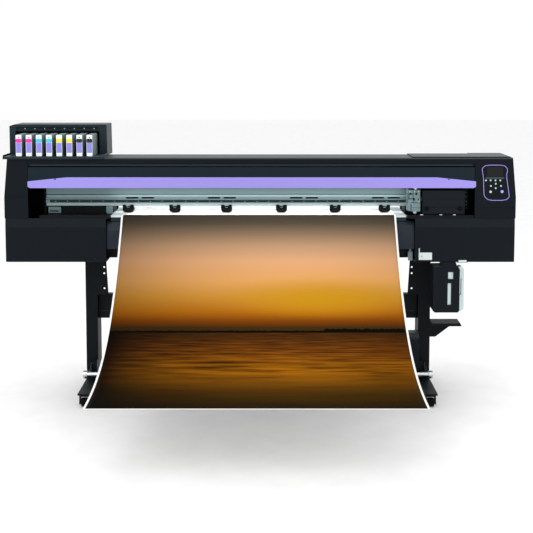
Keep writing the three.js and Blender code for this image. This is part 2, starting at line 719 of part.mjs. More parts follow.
machine.position.set(0, -(SHEET.end + FOOT_REACH) / 2, 0);
const part = new THREE.Group();
part.add(machine);
export default part;
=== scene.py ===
"""A roll-fed printer cutter on its stand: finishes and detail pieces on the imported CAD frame."""
import logging
import math
from dataclasses import dataclass, field
from enum import Enum
from functools import partial

import bpy
import numpy as np
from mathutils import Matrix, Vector


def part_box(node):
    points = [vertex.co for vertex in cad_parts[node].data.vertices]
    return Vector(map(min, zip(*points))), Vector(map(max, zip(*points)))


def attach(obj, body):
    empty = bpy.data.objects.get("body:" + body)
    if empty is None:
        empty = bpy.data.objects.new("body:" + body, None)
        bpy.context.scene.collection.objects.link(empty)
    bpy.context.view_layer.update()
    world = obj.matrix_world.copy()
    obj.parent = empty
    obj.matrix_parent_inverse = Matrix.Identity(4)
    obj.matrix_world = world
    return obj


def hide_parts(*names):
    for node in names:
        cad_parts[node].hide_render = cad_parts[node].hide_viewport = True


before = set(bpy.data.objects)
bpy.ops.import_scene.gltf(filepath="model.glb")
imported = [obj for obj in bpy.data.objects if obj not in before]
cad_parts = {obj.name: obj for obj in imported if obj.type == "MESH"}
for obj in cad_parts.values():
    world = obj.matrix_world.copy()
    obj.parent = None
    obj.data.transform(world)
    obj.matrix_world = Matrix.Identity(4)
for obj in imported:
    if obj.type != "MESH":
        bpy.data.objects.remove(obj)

LOG = logging.getLogger("printer_cutter")
MM = 0.001
SMOOTH_BELOW = math.radians(35)
BEVEL_ABOVE = math.radians(30)
WELD_DISTANCE = 1e-5
# Pale tint mixed into upward faces: partly dust, partly painted sheen of the light from above.
DUST_AND_SHEEN = (0.30, 0.36, 0.37)


# ------------------------------------------------------------------ colour and finishes
def srgb(red: int, green: int, blue: int) -> tuple[float, float, float]:
    """Linear colour of a display colour.

    Args:
        red, green, blue: Display values from 0 to 255.

    Returns:
        The three linear values.
    """
    values = np.array([red, green, blue]) / 255.0
    linear = np.where(values <= 0.04045, values / 12.92, ((values + 0.055) / 1.055) ** 2.4)
    return tuple(float(v) for v in linear)


class Texture(Enum):
    """The kinds of surface that the finishes share.

    BRUSHED stretches the grain along X and SMOOTH has no relief. MOULDED and POWDER are drawn alike, and
    differ only in the numbers that a finish gives with them.
    """

    MOULDED = "moulded"
    POWDER = "powder"
    BRUSHED = "brushed"
    SMOOTH = "smooth"


def placed(name: str, data: bpy.types.ID) -> bpy.types.Object:
    """A new object in the scene that shows the given mesh, light or camera."""
    made = bpy.data.objects.new(name, data)
    bpy.context.scene.collection.objects.link(made)
    return made


@dataclass(frozen=True)
class Finish:
    """One finish: its colour, gloss and the scale of its grain."""

    name: str
    colour: tuple[float, float, float]
    roughness: float
    metallic: float = 0.0
    texture: Texture = Texture.MOULDED
    grain: float = 900.0
    depth: float = 0.00003
    drift: float = 0.12
    dust_and_sheen: float = 0.0
    coat: float = 0.0
    specular: float = 0.5
    slot: str = "cover"

    def material(self) -> bpy.types.Material:
        """The material of this finish, built the first time it is asked for.

        Returns:
            The shared material.
        """
        made = bpy.data.materials.get(self.name)
        return made if made else self._build()

    def _build(self) -> bpy.types.Material:
        """Builds the shader: the shared surface group drives colour, roughness and bump."""
        made = bpy.data.materials.new(self.name)
        made.use_nodes = True
        tree = made.node_tree
        shader = tree.nodes["Principled BSDF"]
        place = tree.nodes.new("ShaderNodeTexCoord")
        stretch = tree.nodes.new("ShaderNodeMapping")
        along = 0.03 if self.texture is Texture.BRUSHED else 1.0
        stretch.inputs["Scale"].default_value = (along, 1.0, 1.0)
        group = tree.nodes.new("ShaderNodeGroup")
        group.node_tree = surface_group()
        group.inputs["Colour"].default_value = (*self.colour, 1.0)
        group.inputs["Roughness"].default_value = self.roughness
        group.inputs["Grain Scale"].default_value = self.grain
        group.inputs["Drift"].default_value = self.drift
        group.inputs["Dust And Sheen"].default_value = self.dust_and_sheen
        bump = tree.nodes.new("ShaderNodeBump")
        bump.inputs["Distance"].default_value = self.depth
        bump.inputs["Strength"].default_value = 0.0 if self.texture is Texture.SMOOTH else 0.6
        link = tree.links.new
        link(place.outputs["Object"], stretch.inputs["Vector"])
        link(stretch.outputs["Vector"], group.inputs["Vector"])
        link(group.outputs["Colour"], shader.inputs["Base Color"])
        link(group.outputs["Roughness"], shader.inputs["Roughness"])
        link(group.outputs["Height"], bump.inputs["Height"])
        link(bump.outputs["Normal"], shader.inputs["Normal"])
        shader.inputs["Metallic"].default_value = self.metallic
        shader.inputs["Coat Weight"].default_value = self.coat
        shader.inputs["Specular IOR Level"].default_value = self.specular
        return made


def group_with(name: str, inputs: dict[str, str], outputs: dict[str, str]) -> bpy.types.NodeTree:
    """An empty shader node group with named sockets.

    Args:
        name: The group's name.
        inputs: Socket name to socket type.
        outputs: Socket name to socket type.

    Returns:
        The group, with its input and output nodes in place.
    """
    tree = bpy.data.node_groups.new(name, "ShaderNodeTree")
    for label, kind in inputs.items():
        tree.interface.new_socket(label, in_out="INPUT", socket_type=kind)
    for label, kind in outputs.items():
        tree.interface.new_socket(label, in_out="OUTPUT", socket_type=kind)
    tree.nodes.new("NodeGroupInput")
    tree.nodes.new("NodeGroupOutput")
    return tree


def math_node(tree: bpy.types.NodeTree, kind: str, first: object, second: object = None) -> object:
    """A Math node; an argument is a number or another node's output.

    Args:
        tree: The tree to add to.
        kind: The operation.
        first: First operand.
        second: Second operand, if the operation has one.

    Returns:
        The node's output socket.
    """
    node = tree.nodes.new("ShaderNodeMath")
    node.operation = kind
    for i, value in enumerate((first, second)):
        if value is None:
            continue
        if isinstance(value, (int, float)):
            node.inputs[i].default_value = value
        else:
            tree.links.new(value, node.inputs[i])
    return node.outputs[0]


def mix_colour(tree: bpy.types.NodeTree, factor: object, low: object, high: object) -> object:
    """A colour Mix node from low to high; a colour is a tuple or another node's output."""
    node = tree.nodes.new("ShaderNodeMix")
    node.data_type = "RGBA"
    for socket, value in ((node.inputs[0], factor), (node.inputs[6], low), (node.inputs[7], high)):
        if isinstance(value, tuple):
            socket.default_value = (*value, 1.0)
        elif isinstance(value, (int, float)):
            socket.default_value = value
        else:
            tree.links.new(value, socket)
    return node.outputs[2]


def noise(tree: bpy.types.NodeTree, vector: object, scale: object, detail: float = 3.0) -> object:
    """A Noise texture's value."""
    node = tree.nodes.new("ShaderNodeTexNoise")
    node.inputs["Detail"].default_value = detail
    tree.links.new(vector, node.inputs["Vector"])
    if isinstance(scale, (int, float)):
        node.inputs["Scale"].default_value = scale
    else:
        tree.links.new(scale, node.inputs["Scale"])
    return node.outputs[0]


def surface_group() -> bpy.types.NodeTree:
    """The group every hard finish shares: fine grain, slow colour drift, and a pale film on upward faces that
    is partly dust and partly painted sheen of the light from above.

    Returns:
        The group, built once.
    """
    name = "hard_surface"
    if name in bpy.data.node_groups:
        return bpy.data.node_groups[name]
    number = "NodeSocketFloat"
    tree = group_with(
        name,
        {"Vector": "NodeSocketVector", "Colour": "NodeSocketColor", "Roughness": number,
         "Grain Scale": number, "Drift": number, "Dust And Sheen": number},
        {"Colour": "NodeSocketColor", "Roughness": number, "Height": number},
    )
    source = tree.nodes["Group Input"].outputs
    target = tree.nodes["Group Output"].inputs
    calc = partial(math_node, tree)
    grain = noise(tree, source["Vector"], source["Grain Scale"], 4.0)
    slow = noise(tree, source["Vector"], 6.0, 2.0)
    swing = calc("MULTIPLY", calc("SUBTRACT", slow, 0.5), source["Drift"])
    lift = calc("ADD", swing, 1.0)
    shade = tree.nodes.new("ShaderNodeVectorMath")
    shade.operation = "SCALE"
    tree.links.new(source["Colour"], shade.inputs[0])
    tree.links.new(lift, shade.inputs["Scale"])
    geometry = tree.nodes.new("ShaderNodeNewGeometry")
    axes = tree.nodes.new("ShaderNodeSeparateXYZ")
    tree.links.new(geometry.outputs["Normal"], axes.inputs[0])
    # Upward faces are mixed towards the pale tint: partly dust, partly painted sheen where light from above
    # falls on them.
    upward = calc("MAXIMUM", axes.outputs["Z"], 0.0)
    dust_and_sheen_film = calc("MULTIPLY", calc("MULTIPLY", upward, grain), source["Dust And Sheen"])
    dust_and_sheen_mix = mix_colour(tree, dust_and_sheen_film, shade.outputs[0], DUST_AND_SHEEN)
    tree.links.new(dust_and_sheen_mix, target["Colour"])
    rough = calc("ADD", source["Roughness"], calc("MULTIPLY", swing, 0.6))
    tree.links.new(rough, target["Roughness"])
    tree.links.new(grain, target["Height"])
    return tree


# Each dust amount below lightens a finish's upward faces: partly dust, partly painted sheen.
COVER = Finish("cover_plastic", srgb(13, 19, 25), 0.42, grain=1400.0, dust_and_sheen=0.3, specular=0.09)
FASCIA = Finish("fascia_plastic", srgb(20, 32, 40), 0.4, grain=1400.0, dust_and_sheen=0.04, specular=0.1)
HOUSING = Finish("ink_unit_plastic", srgb(30, 42, 48), 0.42, grain=1400.0, dust_and_sheen=0.2, specular=0.12)
STAND = Finish("black_powder_coat", srgb(12, 16, 20), 0.5, texture=Texture.POWDER, grain=700.0,
               depth=0.00006, dust_and_sheen=0.03, specular=0.09, slot="stand")
CHASSIS = Finish("dark_sheet_metal", srgb(12, 15, 18), 0.5, texture=Texture.POWDER, specular=0.1,
                 slot="chassis")
GUIDE = Finish("guide_sheet_metal", srgb(26, 36, 45), 0.38, 0.1, texture=Texture.POWDER, specular=0.2,
               slot="guide")
TRIM = Finish("purple_trim", srgb(147, 136, 218), 0.36, grain=1500.0, depth=0.00001, drift=0.05,
              coat=0.15, slot="trim")
ALLOY = Finish("anodised_alloy", srgb(112, 136, 139), 0.4, 0.4, Texture.BRUSHED, 800.0, specular=0.3,
               # A lighter copy of the anodised alloy; on the beam it paints highlight bands where light falls
               # on its faces.
               slot="aluminium")
PALE_ALLOY = Finish("pale_alloy", srgb(160, 182, 184), 0.4, 0.3, Texture.BRUSHED, 800.0, specular=0.3,
                    slot="aluminium")
PLATEN = Finish("platen_alloy", srgb(196, 206, 207), 0.45, 0.2, Texture.BRUSHED, 800.0, specular=0.3,
                slot="aluminium")
BRIGHT = Finish("bright_steel", srgb(205, 212, 212), 0.24, 1.0, Texture.BRUSHED, 900.0, slot="steel")
RAIL = Finish("rail_steel", srgb(30, 36, 40), 0.35, 0.5, Texture.BRUSHED, 900.0, specular=0.3, slot="chassis")
CARRIAGE = Finish("carriage_plastic", srgb(16, 22, 28), 0.45, grain=1300.0, specular=0.12, slot="carriage")
HEAD_BLACK = Finish("roller_head_plastic", srgb(9, 12, 16), 0.5, grain=1300.0, specular=0.12, slot="carriage")
RUBBER = Finish("black_rubber", srgb(10, 11, 12), 0.8, grain=600.0, specular=0.1, slot="rubber")
GRIT = Finish("grit_coating", srgb(135, 140, 141), 0.75, 0.5, Texture.POWDER, 3000.0, slot="grit")
LEVER = Finish("lever_plastic", srgb(120, 138, 142), 0.45, slot="lever")
CASE = Finish("cartridge_case", srgb(122, 141, 141), 0.4, grain=1600.0, slot="cartridge")
LABEL = Finish("cartridge_label", srgb(240, 240, 243), 0.35, texture=Texture.SMOOTH, drift=0.03,
               slot="cartridge")
LAVENDER = Finish("label_lavender", srgb(134, 130, 212), 0.35, texture=Texture.SMOOTH, slot="cartridge")
KEY = Finish("pale_key", srgb(176, 198, 196), 0.4, drift=0.05, slot="key")
BLUE_KEY = Finish("blue_key", srgb(140, 162, 232), 0.4, drift=0.05, slot="key")
PANEL = Finish("panel_sheet", srgb(10, 12, 18), 0.3, grain=1800.0, depth=0.00001, specular=0.12, slot="panel")
BEZEL = Finish("display_bezel", srgb(52, 70, 74), 0.4, grain=1800.0, depth=0.00001, specular=0.2,
               slot="panel")
SCREEN = Finish("screen_glass", srgb(5, 7, 10), 0.1, texture=Texture.SMOOTH, specular=0.3, slot="panel")
TANK = Finish("tank_plastic", srgb(196, 212, 211), 0.42, grain=500.0, depth=0.00005, slot="tank")
PLATE = Finish("pale_plate", srgb(200, 210, 208), 0.4, drift=0.06, slot="tank")
CORE = Finish("card_core", srgb(176, 150, 116), 0.85, grain=300.0, slot="media")
GAP_DARK = Finish("shadow_gap", srgb(5, 6, 7), 0.8, texture=Texture.SMOOTH, specular=0.05, slot="chassis")
YELLOW = Finish("yellow_catch", srgb(214, 176, 40), 0.4, slot="carriage")
INKS = (srgb(222, 40, 150), srgb(222, 40, 150), srgb(60, 190, 220), srgb(60, 190, 220),
        srgb(235, 214, 50), srgb(235, 214, 50), srgb(9, 9, 10), srgb(9, 9, 10))


# ------------------------------------------------------------------ shapes
def rounded_outline(width: float, height: float, radius: float, steps: int = 5) -> np.ndarray:
    """The outline of a rectangle with quarter-circle corners, centred on the origin.

    Each corner is a quarter circle of the given radius about a centre that lies that radius in from both
    sides, and the four quarters are joined by straight sides.

    Args:
        width, height: Outer size.
        radius: Corner radius.
        steps: Segments in each corner.

    Returns:
        An array of (n, 2) points, anticlockwise.
    """
    radius = min(radius, width / 2 * 0.999, height / 2 * 0.999)
    turn = np.linspace(0, math.pi / 2, steps + 1)
    quarter = radius * np.stack([np.cos(turn), np.sin(turn)], axis=1)
    signs = np.array([[1, 1], [-1, 1], [-1, -1], [1, -1]])
    centres = signs * np.array([width / 2 - radius, height / 2 - radius])
    spins = [np.array([[1, 0], [0, 1]]), np.array([[0, 1], [-1, 0]]), np.array([[-1, 0], [0, -1]]),
             np.array([[0, -1], [1, 0]])]
    return np.concatenate([quarter @ spin + centre for spin, centre in zip(spins, centres)])


class Axis(Enum):
    """The direction a shape is carried along: the columns give its across, up and along vectors."""

    X = ((0, 1, 0), (0, 0, 1), (1, 0, 0))
    Y = ((1, 0, 0), (0, 0, 1), (0, -1, 0))
    Z = ((1, 0, 0), (0, 1, 0), (0, 0, 1))


@dataclass
class Surface:
    """A mesh gathered from several closed surfaces, each computed as whole arrays."""

    points: list[np.ndarray] = field(default_factory=list)
    faces: list[tuple[int, ...]] = field(default_factory=list)
    finishes: list[int] = field(default_factory=list)
    count: int = 0

    def rings(self, rings: np.ndarray, finish: int = 0) -> None:
        """Joins closed rings into a tube and closes both ends.

        Args:
            rings: An array of (ring, point, 3); consecutive rings are joined by quads.
            finish: Index of the material.
        """
        k, n = rings.shape[:2]
        i, j = np.meshgrid(np.arange(k - 1), np.arange(n), indexing="ij")
        after = (j + 1) % n
        quads = np.stack([i * n + j, i * n + after, (i + 1) * n + after, (i + 1) * n + j], axis=-1)
        quads = quads.reshape(-1, 4) + self.count
        self.faces += [tuple(q) for q in quads.tolist()]
        self.faces.append(tuple((self.count + np.arange(n)[::-1]).tolist()))
        self.faces.append(tuple((self.count + (k - 1) * n + np.arange(n)).tolist()))
        self.finishes += [finish] * (len(quads) + 2)
        self.points.append(rings.reshape(-1, 3))
        self.count += k * n

    def block(self, low: Vector, high: Vector, axis: Axis = Axis.Y, radius: float = 0.002,
              edge: float = 0.0008, finish: int = 0) -> None:
        """A block with rounded corners along one axis and softened rims at both of its ends.

        The rounded outline is carried along the axis through four rings; the end rings are drawn in by
        the edge width, so that the rim is a small chamfer.

        Args:
            low, high: Opposite corners.
            axis: Direction the outline is carried along.
            radius: Corner radius of the outline.
            edge: Width of the chamfer at the ends.
            finish: Index of the material.
        """
        low_a, high_a = np.array(low, float), np.array(high, float)
        basis = np.array(axis.value, float)
        size = np.abs(basis @ (high_a - low_a))
        edge = min(edge, size[2] * 0.3, size[0] * 0.3, size[1] * 0.3)
        full = rounded_outline(size[0], size[1], radius)
        small = full * (1 - 2 * edge / size[:2])
        half = size[2] / 2
        levels = [(small, -half), (full, -half + edge), (full, half - edge), (small, half)]
        local = np.stack([np.column_stack([o, np.full(len(o), h)]) for o, h in levels])
        self.rings(local @ basis + (low_a + high_a) / 2, finish)

    def strip(self, span: "Span", insets: tuple[float, float], depths: tuple[float, float],
              heights: tuple[float, float], radius: float, edge: float, finish: int = 0) -> None:
        """A long block across the width of a CAD node.

        Args:
            span: The node's box.
            insets: How far the ends stay inside the node, left and right.
            depths: Front and back, measured backwards from the node's front.
            heights: Lower and upper edge.
            radius, edge, finish: As for a block.
        """
        low, high = span.low, span.high
        self.block(Vector((low.x + insets[0], low.y + depths[0], heights[0])),
                   Vector((high.x - insets[1], low.y + depths[1], heights[1])), Axis.X, radius, edge, finish)

    def turned(self, profile: list[tuple[float, float]], centre: Vector, axis: Axis,
               sides: int = 32, finish: int = 0) -> None:
        """A profile of (radius, distance along) turned about an axis.

        Each ring is a circle of that radius at that distance along the axis.

        Args:
            profile: Radius and distance pairs, from one end to the other.
            centre: The point on the axis where the distance is zero.
            axis: The axis.
            sides: Points on each circle.
            finish: Index of the material.
        """
        angle = np.linspace(0, 2 * math.pi, sides, endpoint=False)
        shape = np.array(profile, float)
        across = shape[:, :1] * np.cos(angle)
        up = shape[:, :1] * np.sin(angle)
        along = np.repeat(shape[:, 1:], sides, axis=1)
        local = np.stack([across, up, along], axis=-1)
        self.rings(local @ np.array(axis.value, float) + np.array(centre, float), finish)

    def screw(self, centre: Vector, axis: Axis, radius: float = 0.0035, finish: int = 0) -> None:
        """A low domed screw head with a dimple, facing back along the axis's local direction."""
        head = [(radius, 0.0), (radius, 0.0006), (radius * 0.8, 0.0015), (radius * 0.4, 0.0018),
                (radius * 0.36, 0.0009), (radius * 0.1, 0.0007)]
        self.turned(head, centre, axis, 12, finish)

    def piece(self, name: str, body: str, finishes: list[Finish]) -> bpy.types.Object:
        """Makes the Blender object and rides it on its body.

        Args:
            name: The piece's name.
            body: The CAD body it moves with.
            finishes: The finishes that the material indices stand for.

        Returns:
            The object.
        """
        mesh = bpy.data.meshes.new(name)
        mesh.from_pydata(np.concatenate(self.points).tolist(), [], self.faces)
        for finish in finishes:
            mesh.materials.append(finish.material())
        mesh.polygons.foreach_set("material_index", self.finishes)
        mesh.polygons.foreach_set("use_smooth", [True] * len(mesh.polygons))
        mesh.set_sharp_from_angle(angle=SMOOTH_BELOW)
        mesh.update()
        made = placed(name, mesh)
        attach(made, body)
        LOG.info("%s rides on %s", name, body)
        return made


@dataclass(frozen=True)
class Span:
    """A CAD node's box, with points asked for as fractions of it."""

    node: str

    @property
    def low(self) -> Vector:
        """Lowest corner."""
        return Vector(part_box(self.node)[0])

    @property
    def high(self) -> Vector:
        """Highest corner."""
        return Vector(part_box(self.node)[1])

    @property
    def middle(self) -> Vector:
        """Centre."""
        return (self.low + self.high) / 2


def dress(node: str, finish: Finish, bevel: float = 0.0) -> None:
    """Gives a CAD node its finish and softens its edges.

    Args:
        node: The node's name.
        finish: Its finish.
        bevel: Width of the softened edge, or 0 for none.
    """
    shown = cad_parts[node]
    if not shown.material_slots:
        shown.data.materials.append(None)
    for held in shown.material_slots:
        held.material = finish.material()
    if bevel:
        weld = shown.modifiers.new("weld", "WELD")
        weld.merge_threshold = WELD_DISTANCE
        soften = shown.modifiers.new("bevel", "BEVEL")
        soften.width = bevel
        soften.segments = 2
        soften.limit_method = "ANGLE"
        soften.angle_limit = BEVEL_ABOVE
        soften.harden_normals = False


# ------------------------------------------------------------------ sub-assemblies
@dataclass
class Stand:
    """The legs, cross beam, casters, take-up drive unit and tension bar."""

    hub: float = 13 * MM
    collar: float = 21 * MM
    raised: tuple[float, float] = (-0.0012, 0.0005)
    rib_heights: tuple[float, float] = (0.4155, 0.4185)
    line_heights: tuple[float, float] = (0.288, 0.2925)

    def build(self) -> None:
        """Dresses the stand and adds its wheels, beam rib, drive unit line and round tension bar."""
        for node in ("left_leg", "right_leg", "stand_cross_beam"):
            dress(node, STAND, 1.2 * MM)
        dress("take_up_drive_unit", COVER, 2.5 * MM)
        for corner in ("front_left", "front_right", "rear_left", "rear_right"):
            dress(f"caster_fork_{corner}", STAND, 0.8 * MM)
            self._wheel(corner)
        self._beam_line()
        self._drive_face()
        self._tension_bar()

    def _wheel(self, corner: str) -> None:
        """A turned tyre with rounded shoulders on a recessed hub."""
        span = Span(f"caster_wheel_{corner}")
        half = (span.high.x - span.low.x) / 2
        radius = (span.high.z - span.low.z) / 2
        tyre = Surface()
        tread = [(self.hub, -half * 0.8), (radius * 0.86, -half), (radius * 0.97, -half * 0.82),
                 (radius, -half * 0.5), (radius, half * 0.5), (radius * 0.97, half * 0.82),
                 (radius * 0.86, half), (self.hub, half * 0.8)]
        tyre.turned(tread, span.middle, Axis.X, 40)
        disc = [(self.hub * 0.98, -half * 0.9), (self.hub * 0.98, half * 0.9)]
        tyre.turned(disc, span.middle, Axis.X, 32, 1)
        made = tyre.piece(f"wheel_{corner}_tyre", f"wheel_{corner}", [RUBBER, CARRIAGE])
        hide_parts(f"caster_wheel_{corner}")

    def _beam_line(self) -> None:
        """The shallow rib that runs along the cross beam."""
        span = Span("stand_cross_beam")
        rib = Surface()
        rib.strip(span, (0.01, 0.01), self.raised, self.rib_heights, 0.0004, 0.0002)
        rib.piece("cross_beam_rib", "machine", [RAIL])

    def _drive_face(self) -> None:
        """The light strip across the drive unit."""
        span = Span("take_up_drive_unit")
        face = Surface()
        face.strip(span, (0.022, 0.004), self.raised, self.line_heights, 0.0004, 0.0002)
        face.piece("drive_unit_line", "machine", [GUIDE])

    def _tension_bar(self) -> None:
        """A smooth round bar with turned collars, over the CAD bar's arms."""
        dress("tension_bar", BRIGHT, 0.0)
        span = Span("tension_bar")
        centre = Vector((span.middle.x, span.low.y + self.collar, span.low.z + self.collar))
        half = (span.high.x - span.low.x) / 2
        shaft = Surface()
        shaft.turned([(0.0130, -half), (0.0153, -half + 0.003), (0.0153, half - 0.003), (0.0130, half)],
                     centre, Axis.X, 40)
        for side in (-1, 1):
            ends = sorted((side * (half - 0.023), side * (half - 0.001)))
            ring = [(0.0150, ends[0]), (0.0212, ends[0] + 0.002),
                    (0.0212, ends[1] - 0.002), (0.0150, ends[1])]
            shaft.turned(ring, centre, Axis.X, 40)
        shaft.piece("tension_bar_tube", "tension_bar", [BRIGHT])


@dataclass
class Body:
    """The covers, the frame behind them and the small fittings on them."""

    ridge_heights: tuple[float, float] = (1.1925, 1.2025)
    # Heights of the dark lines on the side covers; the left one is painted shade along a crease.
    dark_line_heights: tuple[tuple[str, float], ...] = (("left", 1.0375), ("right", 0.984))
    dark_line_width: float = 0.0016
    lap_heights: tuple[float, float] = (0.922, 0.942)

    def build(self) -> None:
        """Dresses the covers and adds the hinge strip, dark cover lines, laps, catches, screws and fittings.
        """
        for node in ("left_side_cover", "right_side_cover", "left_lower_cover", "right_lower_cover"):
            dress(node, COVER, 2.0 * MM)
        dress("top_cover", COVER, 1.0 * MM)
        dress("front_cover", FASCIA, 0.8 * MM)
        dress("front_trim", TRIM, 1.2 * MM)
        dress("base_frame", CHASSIS, 0.0)
        dress("front_paper_guide", GUIDE, 0.0)
        dress("clamp_lever", LEVER, 1.5 * MM)
        self._hinge_strip()
        self._dark_cover_lines()
        self._laps()
        self._trim_dots()
        self._cover_screws()
        self._fittings()

    def _hinge_strip(self) -> None:
        """The lighter ridge in the recess above the front cover."""
        span = Span("top_cover")
        strip = Surface()
        strip.strip(span, (0.010, 0.012), (0.0035, 0.0062), self.ridge_heights, 0.001, 0.0004)
        strip.piece("hinge_strip", "machine", [GUIDE])

    def _dark_cover_lines(self) -> None:
        """A dark line across the front of each upper side cover; on the left it is painted shade along the
        cover's crease.
        """
        for side, z in self.dark_line_heights:
            span = Span(f"{side}_side_cover")
            line = Surface()
            line.strip(span, (0.002, 0.002), (-0.0003, 0.001), (z, z + self.dark_line_width), 0.0002, 0.0001)
            line.piece(f"{side}_cover_dark_line", "machine", [GAP_DARK])

    def _laps(self) -> None:
        """The strip inside the back of each side cover that laps the joint with the lower cover."""
        for side in ("left", "right"):
            span = Span(f"{side}_side_cover")
            strip = Surface()
            strip.block(Vector((span.low.x + 0.005, span.high.y - 0.0075, self.lap_heights[0])),
                        Vector((span.high.x - 0.005, span.high.y - 0.0033, self.lap_heights[1])),
                        Axis.X, 0.001, 0.0004)
            strip.piece(f"{side}_joint_lap", "machine", [CHASSIS])

    def _trim_dots(self) -> None:
        """Two small catches at the upper edge of the purple trim."""
        span = Span("front_trim")
        dots = Surface()
        for x in (span.low.x + 0.137, span.high.x - 0.135):
            dots.turned([(0.0035, -0.0005), (0.0035, 0.0008), (0.0022, 0.0014)],
                        Vector((x, span.low.y, span.high.z - 0.0095)), Axis.Y, 16)
        dots.piece("trim_catches", "front_cover", [RUBBER])

    def _cover_screws(self) -> None:
        """The screws that show near the lower corners of the lower covers."""
        left, right = Span("left_lower_cover"), Span("right_lower_cover")
        spots = {"left": (left, (left.low.x + 0.040, left.high.x - 0.055)),
                 "right": (right, (right.high.x - 0.031,))}
        for side, (span, across) in spots.items():
            heads = Surface()
            for x in across:
                heads.screw(Vector((x, span.low.y, span.low.z + 0.016)), Axis.Y, 3.5 * MM)
            heads.piece(f"{side}_cover_screws", "machine", [RAIL])

    def _fittings(self) -> None:
        """The blank plate with its tab, and the clip over the waste tank."""
        span = Span("right_lower_cover")
        front = span.low.y
        plate = Surface()
        plate.block(Vector((0.791, front - 0.003, 0.723)), Vector((0.857, front - 0.0003, 0.760)),
                    Axis.Y, 0.0015, 0.0005)
        plate.block(Vector((0.791, front - 0.003, 0.758)), Vector((0.7955, front - 0.0003, 0.782)),
                    Axis.Y, 0.0015, 0.0005)
        plate.screw(Vector((0.806, front - 0.003, 0.742)), Axis.Y, 2.6 * MM, 1)
        plate.piece("blank_plate", "machine", [PLATE, RAIL])
        clip = Surface()
        clip.block(Vector((0.985, front + 0.012, 0.704)), Vector((1.038, front + 0.040, 0.7108)),
                   Axis.Y, 0.0025, 0.0008)
        clip.block(Vector((0.990, front - 0.003, 0.7115)), Vector((1.030, front - 0.0003, 0.722)),
                   Axis.Y, 0.0025, 0.0008)
        clip.piece("tank_clip", "machine", [PLATE])


